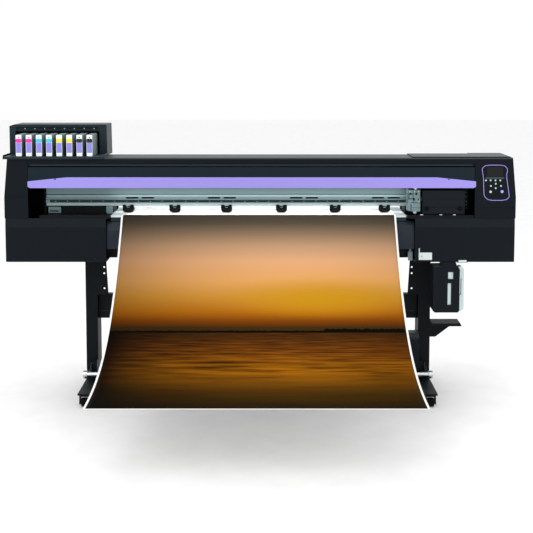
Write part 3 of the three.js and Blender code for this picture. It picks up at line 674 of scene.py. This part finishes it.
@dataclass
class PrintDeck:
    """The beam, platen, rollers and what is on them."""

    screw_pitch: float = 60 * MM
    slot_length: float = 63 * MM
    slot_offset: float = 0.040
    slot_pairs: tuple[float, ...] = (-0.611, -0.195, 0.223, 0.639)
    slot_heights: tuple[float, float] = (1.0150, 1.0232)
    rail_heights: tuple[float, float] = (0.9965, 1.0095)
    screw_height: float = 1.003
    # Two bands of the beam in the lighter alloy: painted highlight, lighter because of how light falls on
    # these faces.
    painted_highlight_bands: tuple[tuple[float, tuple[float, float]], ...] = (
        (0.0073, (0.9785, 0.9945)), (0.0068, (1.0255, 1.0325)))
    skirt_heights: tuple[float, float] = (0.9145, 0.9325)
    fixings: tuple[float, ...] = (0.804, 0.900, 0.967)

    def build(self) -> None:
        """Dresses the deck and adds the rail, slots, brackets, rollers and roller heads."""
        dress("carriage_beam", ALLOY, 0.5 * MM)
        dress("platen", PLATEN, 0.0)
        dress("pinch_roller_bar", HEAD_BLACK, 0.8 * MM)
        self._rail()
        self._slots()
        self._platen_front()
        self._brackets()
        self._deck_tabs()
        self._end_bars()
        self._grit_roller()
        for number in range(1, 7):
            self._pinch_roller(number)
            self._head_plate(number)

    def _rail(self) -> None:
        """The dark linear rail with its row of screws, and two pale bands of painted highlight on the beam
        below and above it.
        """
        span = Span("carriage_beam")
        front = span.low.y
        rail = Surface()
        rail.strip(span, (0.02, 0.02), (-0.0008, 0.004), self.rail_heights, 0.001, 0.0004)
        count = int((span.high.x - span.low.x - 0.08) / self.screw_pitch)
        for i in range(count):
            rail.screw(Vector((span.low.x + 0.05 + i * self.screw_pitch, front - 0.0008, self.screw_height)),
                       Axis.Y, 2.4 * MM, 1)
        # Painted highlight bands below the rail and above the slots.
        for depth, heights in self.painted_highlight_bands:
            rail.strip(span, (0.004, 0.004), (depth, 0.011), heights, 0.001, 0.0004, 2)
        rail.piece("linear_rail", "machine", [RAIL, BRIGHT, PALE_ALLOY])

    def _slots(self) -> None:
        """Pairs of dark slots along the light band of the beam."""
        front = Span("carriage_beam").low.y + 0.008
        slots = Surface()
        for centre in self.slot_pairs:
            for side in (-1, 1):
                x = centre + side * self.slot_offset
                slots.block(Vector((x - self.slot_length / 2, front - 0.0004, self.slot_heights[0])),
                            Vector((x + self.slot_length / 2, front + 0.001, self.slot_heights[1])),
                            Axis.Y, 0.003, 0.0002)
        slots.piece("beam_slots", "machine", [GAP_DARK])

    def _platen_front(self) -> None:
        """The dark sheet that covers the platen's front face, up to its pale upper edge."""
        span = Span("platen")
        skirt = Surface()
        skirt.strip(span, (0.0, 0.0), (-0.0012, 0.001), self.skirt_heights, 0.0006, 0.0002)
        skirt.piece("platen_front_sheet", "machine", [GUIDE])

    def _brackets(self) -> None:
        """The light plate at the platen's left end and the grey bracket at the beam's left end."""
        platen, beam = Span("platen"), Span("carriage_beam")
        front = Span("pinch_roller_bar").low.y
        plates = Surface()
        plates.block(Vector((platen.low.x - 0.036, front - 0.002, 0.944)),
                     Vector((platen.low.x - 0.004, front + 0.006, 0.977)), Axis.Y, 0.002, 0.0006)
        plates.block(Vector((platen.low.x - 0.030, front - 0.012, 0.9400)),
                     Vector((platen.low.x + 0.004, front - 0.002, 0.9462)), Axis.Y, 0.002, 0.0006)
        plates.block(Vector((beam.low.x + 0.012, front - 0.002, 0.942)),
                     Vector((beam.low.x + 0.076, front + 0.004, 0.974)), Axis.Y, 0.002, 0.0006)
        plates.block(Vector((beam.low.x + 0.018, front - 0.0026, 0.950)),
                     Vector((beam.low.x + 0.064, front - 0.001, 0.956)), Axis.Y, 0.002, 0.0004, 1)
        plates.piece("end_brackets", "machine", [ALLOY, RUBBER])

    def _deck_tabs(self) -> None:
        """The small bright fixings along the raised edge of the right deck."""
        front = Span("base_frame").low.y
        tabs = Surface()
        for x in self.fixings:
            tabs.block(Vector((x - 0.007, front + 0.001, 0.9472)), Vector((x + 0.007, front + 0.010, 0.9502)),
                       Axis.Y, 0.001, 0.0004)
        tabs.piece("deck_fixings", "machine", [PLATE])

    def _end_bars(self) -> None:
        """The dark bars that show between the carriage and the right side cover."""
        front = Span("carriage_beam").low.y
        bars = Surface()
        for row in range(5):
            z = 0.965 + row * 0.022
            bars.block(Vector((1.0235, front - 0.030, z)), Vector((1.050, front - 0.004, z + 0.012)),
                       Axis.X, 0.002, 0.0006)
        bars.piece("end_bars", "machine", [CARRIAGE])

    def _grit_roller(self) -> None:
        """A round shaft with a grit-coated sleeve under each pinch roller."""
        span = Span("grit_roller")
        half = (span.high.x - span.low.x) / 2
        roller = Surface()
        roller.turned([(0.007, -half), (0.008, -half + 0.001), (0.008, half - 0.001), (0.007, half)],
                      span.middle, Axis.X, 32)
        for number in range(1, 7):
            x = Span(f"pinch_roller_{number}").middle.x
            sleeve = [(0.011, -0.020), (0.01195, -0.019), (0.01195, 0.019), (0.011, 0.020)]
            roller.turned(sleeve, Vector((x, span.middle.y, span.middle.z)), Axis.X, 40, 1)
        made = roller.piece("grit_roller_shaft", "grit_roller", [BRIGHT, GRIT])
        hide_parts("grit_roller")

    def _pinch_roller(self, number: int) -> None:
        """A rubber roller with rounded shoulders."""
        name = f"pinch_roller_{number}"
        span = Span(name)
        half = (span.high.x - span.low.x) / 2
        roller = Surface()
        profile = [(0.0042, -half), (0.0078, -half + 0.0004), (0.0089, -half + 0.0015),
                   (0.0089, half - 0.0015), (0.0078, half - 0.0004), (0.0042, half)]
        roller.turned(profile, span.middle, Axis.X, 36)
        made = roller.piece(f"{name}_tyre", name, [RUBBER])
        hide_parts(name)

    def _head_plate(self, number: int) -> None:
        """The black front of one roller head: two ears over a body that steps in towards the platen."""
        x = Span(f"pinch_roller_{number}").middle.x
        front = Span("pinch_roller_bar").low.y
        plate = Surface()
        for reach, low, high in ((0.021, 0.9545, 0.9755), (0.017, 0.9455, 0.9560), (0.028, 0.9685, 0.9750)):
            plate.block(Vector((x - reach, front - 0.0015, low)), Vector((x + reach, front + 0.004, high)),
                        Axis.Y, 0.003, 0.0008)
        for side in (-1, 1):
            ear = sorted((x + side * 0.010, x + side * 0.027))
            plate.block(Vector((ear[0], front - 0.0016, 0.9735)), Vector((ear[1], front + 0.004, 0.9845)),
                        Axis.Y, 0.003, 0.0008)
        plate.block(Vector((x - 0.007, front - 0.0020, 0.9705)), Vector((x + 0.007, front + 0.002, 0.9722)),
                    Axis.Y, 0.0014, 0.0004, 1)
        plate.piece(f"roller_head_front_{number}", "pinch_bar", [HEAD_BLACK, PALE_ALLOY])


@dataclass
class Carriage:
    """The print carriage, the cutter head on its left and the tool it holds."""

    def build(self) -> None:
        """Dresses the carriage and adds panels, knobs, screws and the tool's turned parts."""
        dress("print_carriage", CARRIAGE, 1.5 * MM)
        dress("cutter_head", ALLOY, 0.6 * MM)
        dress("cutter_holder", BRIGHT, 0.0)
        self._front()
        self._head()

    def _front(self) -> None:
        """The lower panel and the two knobs of the print carriage."""
        span = Span("print_carriage")
        front = span.low.y
        detail = Surface()
        detail.block(Vector((span.low.x + 0.006, front - 0.0025, span.low.z + 0.006)),
                     Vector((span.high.x - 0.006, front + 0.0005, span.low.z + 0.078)), Axis.Y, 0.005, 0.001)
        knob = [(0.012, 0.0), (0.012, 0.004), (0.0105, 0.0068), (0.006, 0.0074), (0.0055, 0.0055),
                (0.001, 0.0052)]
        for x in (span.low.x + 0.022, span.high.x - 0.025):
            detail.turned(knob, Vector((x, front - 0.002, span.low.z + 0.030)), Axis.Y, 32, 1)
        detail.piece("carriage_front", "carriage", [CARRIAGE, RUBBER])

    def _head(self) -> None:
        """Plates, springs, wheels and screws on the cutter head, and the yellow catch beside it."""
        span = Span("cutter_head")
        detail = Surface()
        face = span.low.y + 0.006
        for dx, z in ((0.010, 1.062), (0.032, 1.062), (0.054, 1.062), (0.010, 1.010), (0.056, 1.010),
                      (0.008, 0.972), (0.024, 1.000)):
            detail.screw(Vector((span.low.x + dx, face, z)), Axis.Y, 3.2 * MM, 1)
        wheel = [(0.0080, -0.0020), (0.0095, -0.0012), (0.0095, 0.0035), (0.0080, 0.0045), (0.0030, 0.0048)]
        for dx, z in ((0.016, 1.037), (0.050, 1.037)):
            detail.turned(wheel, Vector((span.low.x + dx, face + 0.002, z)), Axis.Y, 28)
        for coil in range(7):
            z = 1.014 + coil * 0.0016
            detail.turned([(0.0035, z), (0.0042, z + 0.0004), (0.0035, z + 0.0008)],
                          Vector((span.low.x + 0.033, face - 0.001, 0.0)), Axis.Z, 16, 1)
        detail.block(Vector((span.high.x + 0.001, span.low.y + 0.030, 1.010)),
                     Vector((span.high.x + 0.0055, span.low.y + 0.046, 1.030)), Axis.Z, 0.0012, 0.0006, 2)
        for dx, z, size in ((0.014, 1.051, 0.0045), (0.042, 1.050, 0.0055), (0.030, 1.026, 0.0050),
                            (0.012, 0.992, 0.0050), (0.044, 0.986, 0.0065), (0.052, 1.022, 0.0035)):
            detail.turned([(size, -0.002), (size, 0.0003), (size * 0.8, 0.0004)],
                          Vector((span.low.x + dx, face, z)), Axis.Y, 24, 3)
        for low_x, low_z, high_x, high_z in ((0.0255, 1.000, 0.0275, 1.068), (0.003, 1.0055, 0.060, 1.0075),
                                             (0.044, 1.030, 0.0455, 1.068)):
            detail.block(Vector((span.low.x + low_x, face - 0.0003, low_z)),
                         Vector((span.low.x + high_x, face + 0.001, high_z)), Axis.Y, 0.0004, 0.0001, 3)
        detail.piece("cutter_head_fittings", "carriage", [ALLOY, BRIGHT, YELLOW, GAP_DARK])


@dataclass
class InkUnit:
    """The ink unit and its row of cartridges."""

    def build(self) -> None:
        """Dresses the housing, adds its marks and makes each cartridge."""
        dress("ink_unit_housing", HOUSING, 1.2 * MM)
        self._marks()
        for number in range(1, 9):
            self._cartridge(number)

    def _marks(self) -> None:
        """A small lamp over each cartridge on a narrow rail."""
        first, last = Span("ink_cartridge_1"), Span("ink_cartridge_8")
        front = Span("ink_unit_housing").low.y + 0.157
        top = Span("ink_unit_housing").high.z - 0.022
        marks = Surface()
        marks.block(Vector((first.low.x - 0.015, front + 0.0095, top - 0.012)),
                    Vector((last.high.x + 0.012, front + 0.0115, top - 0.009)), Axis.X, 0.0008, 0.0003)
        for number in range(1, 9):
            x = Span(f"ink_cartridge_{number}").middle.x
            marks.turned([(0.0028, 0.0), (0.0028, 0.0012), (0.0018, 0.0020)],
                         Vector((x, front + 0.0115, top)), Axis.Y, 16, 1)
        marks.piece("ink_lamps", "machine", [GUIDE, PLATE])

    def _cartridge(self, number: int) -> None:
        """One cartridge: a rounded case, its pale front label, a colour band and a lavender field."""
        name = f"ink_cartridge_{number}"
        span = Span(name)
        low, high = span.low, span.high
        front = low.y
        ink = Finish(f"ink_band_{number}", INKS[number - 1], 0.35, texture=Texture.SMOOTH, slot="cartridge")
        case = Surface()
        case.block(Vector((low.x, front + 0.0008, low.z)), Vector((high.x, high.y, high.z)),
                   Axis.Y, 0.0025, 0.0012)
        case.block(Vector((low.x + 0.001, front + 0.0003, low.z + 0.001)),
                   Vector((high.x - 0.001, front + 0.002, high.z - 0.001)), Axis.Y, 0.002, 0.0003, 1)
        case.block(Vector((low.x + 0.0012, front + 0.0001, high.z - 0.039)),
                   Vector((high.x - 0.0012, front + 0.001, high.z - 0.019)), Axis.Y, 0.005, 0.0002, 2)
        case.block(Vector((low.x + 0.0022, front + 0.0001, low.z + 0.018)),
                   Vector((high.x - 0.0022, front + 0.001, high.z - 0.0395)), Axis.Y, 0.001, 0.0002, 3)
        case.turned([(0.0034, 0.0), (0.0034, 0.0007)],
                    Vector((span.middle.x, front + 0.0008, high.z - 0.012)), Axis.Y, 16, 2)
        made = case.piece(f"{name}_case", name, [CASE, LABEL, ink, LAVENDER])
        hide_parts(name)


@dataclass
class OperationPanel:
    """The panel sheet with its purple outline, display and ten keys."""

    corners: tuple[tuple[float, float], ...] = (
        (-51.5, 90.0), (38.5, 90.0), (56.5, 74.0), (59.5, 55.0), (53.5, 40.0), (67.5, -50.0), (70.5, -72.0),
        (50.5, -90.0), (-35.5, -90.0), (-59.5, -67.0), (-61.5, -36.0), (-64.5, 28.0), (-70.5, 59.0),
        (-70.5, 74.0))

    def build(self) -> None:
        """Dresses the panel and adds the outline, the display and the key caps."""
        dress("operation_panel", PANEL, 0.0)
        self._outline()
        self._display()
        keys = [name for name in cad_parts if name.endswith("_key") or "_key_" in name]
        for name in keys:
            self._key(name)

    def _outline(self) -> None:
        """A raised purple line that follows the panel's edge.

        Each side gives way to the points a fifth and four fifths of the way along it, and a flat band is
        carried round the loop at set distances inside it.
        """
        span = Span("operation_panel")
        loop = np.array(self.corners) * MM
        ahead = np.roll(loop, -1, axis=0)
        loop = np.stack([0.8 * loop + 0.2 * ahead, 0.2 * loop + 0.8 * ahead], axis=1).reshape(-1, 2)
        loop = loop + np.array([span.middle.x, span.middle.z])
        run = np.roll(loop, -1, axis=0) - np.roll(loop, 1, axis=0)
        inward = np.column_stack([run[:, 1], -run[:, 0]]) / np.linalg.norm(run, axis=1, keepdims=True)
        rings = []
        for drawn, height in ((0.0006, 0.0001), (0.0009, -0.0006), (0.0037, -0.0006), (0.0040, 0.0001)):
            ring = loop + inward * drawn
            rings.append(np.column_stack([ring[:, 0], np.full(len(ring), span.low.y + height), ring[:, 1]]))
        band = np.stack(rings)
        k, n = band.shape[:2]
        i, j = np.meshgrid(np.arange(k), np.arange(n), indexing="ij")
        quads = np.stack([i * n + j, i * n + (j + 1) % n, ((i + 1) % k) * n + (j + 1) % n,
                          ((i + 1) % k) * n + j], axis=-1).reshape(-1, 4)
        line = Surface()
        line.points.append(band.reshape(-1, 3))
        line.faces = [tuple(q) for q in quads.tolist()]
        line.finishes = [0] * len(line.faces)
        line.piece("panel_outline", "machine", [TRIM])

    def _display(self) -> None:
        """The glass of the display and the bezel below it."""
        span = Span("operation_panel")
        front = span.low.y
        glass = Surface()
        glass.block(Vector((1.1245, front + 0.0001, 1.1395)), Vector((1.2025, front + 0.0005, 1.1885)),
                    Axis.Y, 0.001, 0.0001, 0)
        glass.block(Vector((1.118, front - 0.0007, 1.1295)), Vector((1.209, front - 0.0001, 1.1375)),
                    Axis.Y, 0.003, 0.0002, 1)
        glass.piece("display_glass", "machine", [SCREEN, BEZEL])

    def _key(self, name: str) -> None:
        """A round key cap: a dark rim round a pale, slightly domed top."""
        span = Span(name)
        radius = (span.high.x - span.low.x) / 2
        depth = span.high.y - span.low.y
        cap = Surface()
        base = Vector((span.middle.x, span.high.y, span.middle.z))
        cap.turned([(radius, 0.0), (radius, depth - 0.0006), (radius * 0.94, depth - 0.0002),
                    (radius * 0.7, depth - 0.0003)], base, Axis.Y, 28, 1)
        cap.turned([(radius * 0.78, depth - 0.0012), (radius * 0.78, depth), (radius * 0.5, depth + 0.0002),
                    (radius * 0.2, depth + 0.0002)], base, Axis.Y, 28)
        made = cap.piece(f"{name}_cap", name, [BLUE_KEY if name == "enter_key" else KEY, PANEL])
        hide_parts(name)


@dataclass
class WasteInk:
    """The waste-ink tank and its cover."""

    def build(self) -> None:
        """Dresses the tank and its cover."""
        dress("waste_tank_cover", COVER, 1.5 * MM)
        dress("waste_tank", TANK, 2.5 * MM)


@dataclass
class Media:
    """The printed sheet and the roll it comes from."""

    half_width: float = 685.5 * MM
    border: float = 9 * MM
    lead: float = 12 * MM
    rise_bend: float = 28 * MM
    brow: float = 34 * MM
    power: float = 2.6
    rows: int = 170
    columns: int = 41
    thickness: float = 0.0006
    horizon: float = 0.505
    sun: tuple[float, float] = (0.72, 0.352)
    glow_reach: tuple[float, float] = (0.42, 0.105)
    tall_trees_from: float = 0.72
    print_middle: float = 0.64

    def build(self) -> None:
        """Makes the sheet and the roll."""
        self._sheet()
        self._roll()

    def path(self) -> tuple[np.ndarray, int]:
        """The sheet's middle line from the roll over the platen to the front edge.

        It rises straight from the roll, turns forward through a quarter circle, runs flat over the platen,
        turns down over its front edge on a circle, and then falls along a power curve: its height above the
        front edge is proportional to its remaining distance to the power 2.6.

        Returns:
            An array of (n, 2) points in Y and Z, and the index where it turns down at the platen's edge.
        """
        sheet, platen, roll = Span("media_sheet"), Span("platen"), Span("supply_roll")
        under = sheet.high.z - 0.0005
        rear = roll.low.y - 0.0008
        turn = np.linspace(0, math.pi / 2, 13)
        rise = np.column_stack([rear - self.rise_bend + self.rise_bend * np.cos(turn),
                                under - self.rise_bend + self.rise_bend * np.sin(turn)])
        start = np.array([[rear, roll.middle.z]])
        edge = platen.low.y + 0.005
        fall = np.radians(np.linspace(90, 142, 12))
        brow = np.column_stack([edge + self.brow * np.cos(fall),
                                under - self.brow + self.brow * np.sin(fall)])
        s = np.linspace(1, 0, 72)[1:]
        end_y, end_z = sheet.low.y, sheet.low.z + 0.0005
        sweep = np.column_stack([end_y + (brow[-1, 0] - end_y) * s,
                                 end_z + (brow[-1, 1] - end_z) * s ** self.power])
        return np.concatenate([start, rise, brow, sweep]), len(start) + len(rise)

    def _sheet(self) -> None:
        """The sheet as a grid across its width and along its path, with a UV map of the printed part."""
        line, brow = self.path()
        step = np.linalg.norm(np.diff(line, axis=0), axis=1)
        along = np.concatenate([[0.0], np.cumsum(step)])
        wanted = np.linspace(0.0, along[-1], self.rows)
        y = np.interp(wanted, along, line[:, 0])
        z = np.interp(wanted, along, line[:, 1])
        middle = Span("media_sheet").middle.x
        across = np.linspace(-self.half_width, self.half_width, self.columns) + middle
        first = float(along[brow]) - self.lead
        shape = (self.rows, self.columns)
        grid = np.stack([np.broadcast_to(across, shape), np.broadcast_to(y[:, None], shape),
                         np.broadcast_to(z[:, None], shape)], axis=-1)
        i, j = np.meshgrid(np.arange(self.rows - 1), np.arange(self.columns - 1), indexing="ij")
        here = i * self.columns + j
        quads = np.stack([here, here + 1, here + self.columns + 1, here + self.columns], axis=-1)
        mesh = bpy.data.meshes.new("printed_sheet")
        mesh.from_pydata(grid.reshape(-1, 3).tolist(), [], quads.reshape(-1, 4).tolist())
        printed = (wanted - first) / (along[-1] - first)
        spots = np.stack([np.broadcast_to(np.linspace(0, 1, self.columns), shape),
                          np.broadcast_to(printed[:, None], shape)], axis=-1).reshape(-1, 2)
        corner = np.empty(len(mesh.loops), dtype=int)
        mesh.loops.foreach_get("vertex_index", corner)
        layer = mesh.uv_layers.new(name="print")
        layer.data.foreach_set("uv", spots[corner].ravel())
        mesh.polygons.foreach_set("use_smooth", [True] * len(mesh.polygons))
        mesh.flip_normals()
        mesh.update()
        made = placed("printed_sheet", mesh)
        mesh.materials.append(self._print_material(along[-1] - first))
        mesh.materials.append(self._blank_material())
        solid = made.modifiers.new("thickness", "SOLIDIFY")
        solid.thickness = self.thickness
        solid.offset = 0.0
        solid.material_offset = 1
        solid.material_offset_rim = 1
        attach(made, "machine")
        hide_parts("media_sheet")
        LOG.info("printed sheet is %.3f m long, %.3f m of it printed", along[-1], along[-1] - first)

    def _blank_material(self) -> bpy.types.Material:
        """The unprinted back of the media."""
        back = Finish("media_back", srgb(240, 240, 238), 0.55, grain=260.0, drift=0.03, slot="media")
        return back.material()

    def _print_material(self, length: float) -> bpy.types.Material:
        """The printed face: a generic sunset over rippled water, with a white border.

        The sky and the water are one ramp along the sheet. Noise raises a line of trees at the horizon. Below
        it the water is a plane seen in perspective: its distance is one over the depth below the horizon, and
        noise over that plane makes the ripples. An ellipse of yellow is the sun's glow, and a parabola across
        the width darkens the sides.

        Args:
            length: Length of the printed stretch, which sets the border's share of it.

        Returns:
            The material.
        """
        made = bpy.data.materials.new("printed_media")
        made.use_nodes = True
        tree = made.node_tree
        shader = tree.nodes["Principled BSDF"]
        place = tree.nodes.new("ShaderNodeUVMap")
        place.uv_map = "print"
        axes = tree.nodes.new("ShaderNodeSeparateXYZ")
        tree.links.new(place.outputs[0], axes.inputs[0])
        u, v = axes.outputs["X"], axes.outputs["Y"]
        calc = partial(math_node, tree)
        horizon = self.horizon
        below = calc("GREATER_THAN", v, horizon)
        away = calc("MAXIMUM", calc("SUBTRACT", v, horizon), 0.0)
        distance = calc("DIVIDE", 1.0, calc("ADD", away, 0.11))
        water = tree.nodes.new("ShaderNodeCombineXYZ")
        tree.links.new(calc("MULTIPLY", calc("SUBTRACT", u, 0.5), distance),
                       water.inputs["X"])
        tree.links.new(calc("MULTIPLY", distance, 4.0), water.inputs["Y"])
        ripple = calc("SUBTRACT", noise(tree, water.outputs[0], 1.3, 4.0), 0.5)
        ripple = calc("MULTIPLY", ripple, below)
        wave = calc("MULTIPLY", ripple, calc("MULTIPLY", away, 0.7))
        trees = tree.nodes.new("ShaderNodeMapping")
        trees.inputs["Scale"].default_value = (55.0, 0.0, 1.0)
        tree.links.new(place.outputs[0], trees.inputs["Vector"])
        taller = calc("MULTIPLY", calc("GREATER_THAN", u, self.tall_trees_from), 0.016)
        canopy = calc("MULTIPLY", noise(tree, trees.outputs[0], 1.0, 5.0),
                           calc("ADD", taller, 0.014))
        crest = calc("SUBTRACT", horizon + 0.001, canopy)
        wooded = calc("MULTIPLY", calc("GREATER_THAN", v, crest),
                           calc("LESS_THAN", v, horizon + 0.004))
        ramp = tree.nodes.new("ShaderNodeValToRGB")
        self._fill_ramp(ramp.color_ramp)
        tree.links.new(calc("ADD", v, wave), ramp.inputs[0])
        glow = self._glow(tree, u, v)
        sunlit = mix_colour(tree, glow, ramp.outputs[0], srgb(186, 134, 14))
        offset = calc("SUBTRACT", u, self.print_middle)
        fall = calc("SUBTRACT", -1.25, calc("MULTIPLY", below, 1.1))
        sides = calc("MULTIPLY", calc("MULTIPLY", offset, offset), fall)
        light = calc("MAXIMUM", calc("ADD", sides, 0.95), 0.06)
        light = calc("MULTIPLY", light,
                          calc("ADD", 1.0, calc("MULTIPLY", ripple, 3.2)))
        shade = tree.nodes.new("ShaderNodeVectorMath")
        shade.operation = "SCALE"
        tree.links.new(sunlit, shade.inputs[0])
        tree.links.new(light, shade.inputs["Scale"])
        picture = mix_colour(tree, wooded, shade.outputs[0], srgb(6, 5, 2))
        side = self.border / (2 * self.half_width)
        inside = calc("MULTIPLY", calc("GREATER_THAN", u, side),
                           calc("LESS_THAN", u, 1.0 - side))
        inside = calc("MULTIPLY", inside, calc("GREATER_THAN", v, 0.0))
        inside = calc("MULTIPLY", inside, calc("LESS_THAN", v, 1.0 - 0.006 / length))
        tree.links.new(mix_colour(tree, inside, srgb(246, 246, 244), picture), shader.inputs["Base Color"])
        shader.inputs["Roughness"].default_value = 0.6
        shader.inputs["Specular IOR Level"].default_value = 0.02
        return made

    def _glow(self, tree: bpy.types.NodeTree, u: object, v: object) -> object:
        """The mask of the low sun's glow: one minus the squared distance from its centre, all squared."""
        calc = partial(math_node, tree)
        across = calc("DIVIDE", calc("SUBTRACT", u, self.sun[0]), self.glow_reach[0])
        down = calc("DIVIDE", calc("SUBTRACT", v, self.sun[1]), self.glow_reach[1])
        reach = calc("ADD", calc("MULTIPLY", across, across),
                          calc("MULTIPLY", down, down))
        inner = calc("MAXIMUM", calc("SUBTRACT", 1.0, reach), 0.0)
        return calc("MULTIPLY", calc("POWER", inner, 2.0), 0.85)

    @staticmethod
    def _fill_ramp(ramp: bpy.types.ColorRamp) -> None:
        """The picture's palette from the top of the print to its bottom edge."""
        palette = (
            (0.00, srgb(44, 40, 34)), (0.05, srgb(80, 70, 57)), (0.09, srgb(128, 105, 83)),
            (0.14, srgb(176, 139, 106)), (0.20, srgb(208, 156, 112)), (0.28, srgb(210, 152, 88)),
            (0.35, srgb(190, 132, 48)), (0.41, srgb(168, 100, 16)), (0.455, srgb(116, 57, 4)),
            (0.485, srgb(56, 38, 8)), (0.52, srgb(62, 34, 6)), (0.60, srgb(98, 52, 6)),
            (0.72, srgb(132, 79, 4)), (0.86, srgb(64, 41, 3)), (1.00, srgb(26, 19, 3)),
        )
        while len(ramp.elements) < len(palette):
            ramp.elements.new(0.5)
        for element, (position, colour) in zip(ramp.elements, palette):
            element.position = position
            element.color = (*colour, 1.0)

    def _roll(self) -> None:
        """The supply roll: a wound body with ringed ends on a longer card core."""
        span = Span("supply_roll")
        centre = span.middle
        radius = (span.high.z - span.low.z) / 2
        half = self.half_width
        middle = Vector((Span("media_sheet").middle.x, centre.y, centre.z))
        rings = np.linspace(0.039, radius - 0.0008, 12)
        left = [(float(r), -half + (0.0006 if i % 2 else 0.0)) for i, r in enumerate(rings)]
        right = [(r, -d) for r, d in reversed(left)]
        roll = Surface()
        roll.turned([*left, *right], middle, Axis.X, 64)
        core_half = (span.high.x - span.low.x) / 2
        for side in (-1, 1):
            ends = sorted((side * (half - 0.004), side * core_half))
            roll.turned([(0.0375, ends[0]), (0.038, ends[0] + 0.0005), (0.038, ends[1] - 0.0005),
                         (0.0375, ends[1])], middle, Axis.X, 48, 1)
        made = roll.piece("wound_roll", "supply_roll",
                          [Finish("wound_media", srgb(236, 236, 232), 0.5, grain=240.0, slot="media"), CORE])
        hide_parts("supply_roll")


# ------------------------------------------------------------------ studio
@dataclass
class Studio:
    """The floor, the lights and the camera."""

    lens: float = 73.9
    pitch: float = math.radians(5.2)
    shift: float = -0.187
    eye: tuple[float, float, float] = (0.032, -5.0925, 1.68)
    reach: float = 30.0
    level: float = -0.0005
    floor_colour: tuple[float, float, float] = (0.94, 0.94, 0.94)

    def build(self) -> None:
        """Makes the floor, the lights and the camera."""
        self._floor()
        self._light("key", (-2.6, -4.2, 4.6), 90, 3.0)
        self._light("fill", (3.4, -3.8, 3.0), 45, 3.4)
        self._light("top", (0.0, 0.4, 4.8), 45, 4.0)
        self._deck_lights()
        self._world()
        self._camera()

    def _floor(self) -> None:
        """A wide pale floor just under the wheels."""
        mesh = bpy.data.meshes.new("floor")
        signs = ((-1, -1), (1, -1), (1, 1), (-1, 1))
        corners = [(x * self.reach, y * self.reach, self.level) for x, y in signs]
        mesh.from_pydata(corners, [], [(0, 1, 2, 3)])
        floor = placed("floor", mesh)
        white = Finish("studio_floor", self.floor_colour, 0.9, texture=Texture.SMOOTH)
        mesh.materials.append(white.material())

    @staticmethod
    def _light(name: str, place: tuple[float, float, float], power: float, size: float) -> None:
        """A soft square light aimed at the machine's middle."""
        lamp = bpy.data.lights.new(name, "AREA")
        lamp.energy = power
        lamp.size = size
        made = placed(name, lamp)
        made.location = place
        made.rotation_euler = (Vector((0, 0.4, 0.8)) - Vector(place)).to_track_quat("-Z", "Y").to_euler()

    @staticmethod
    def _deck_lights() -> None:
        """Three long soft strips in the working gap: before, under and behind the beam."""
        platen, beam = Span("platen"), Span("carriage_beam")
        strips = {"deck_front": (beam.low.y - 0.05, 1.075, 1.3),
                  "deck_under": (beam.low.y + 0.05, 0.9768, 1.3),
                  "deck_rear": (beam.high.y + 0.07, 1.150, 2.2)}
        for name, (y, z, power) in strips.items():
            lamp = bpy.data.lights.new(name, "AREA")
            lamp.shape = "RECTANGLE"
            lamp.energy = power
            lamp.size = platen.high.x - platen.low.x
            lamp.size_y = 0.04
            made = placed(name, lamp)
            made.location = (platen.middle.x, y, z)
            made.visible_camera = False
            made.visible_glossy = False

    @staticmethod
    def _world() -> None:
        """An even white surround, shown without a tone curve so that finishes keep their colours."""
        world = bpy.data.worlds.new("studio")
        bpy.context.scene.world = world
        world.use_nodes = True
        back = world.node_tree.nodes["Background"]
        back.inputs[0].default_value = (1.0, 1.0, 1.0, 1.0)
        back.inputs[1].default_value = 1.0
        bpy.context.scene.view_settings.view_transform = "Standard"

    def _camera(self) -> None:
        """A long lens in front of the machine at standing eye height, tipped down a little."""
        data = bpy.data.cameras.new("camera")
        data.lens = self.lens
        data.sensor_width = 36.0
        data.shift_y = self.shift
        data.clip_end = 100.0
        camera = placed("camera", data)
        camera.location = self.eye
        camera.rotation_euler = (math.pi / 2 - self.pitch, 0.0, 0.0)
        bpy.context.scene.camera = camera


def main() -> None:
    logging.basicConfig(level=logging.INFO, format="%(message)s")
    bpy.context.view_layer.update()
    for section in (Studio, Stand, Body, PrintDeck, Carriage, InkUnit, OperationPanel, WasteInk, Media):
        section().build()


if __name__ == "__main__":
    main()
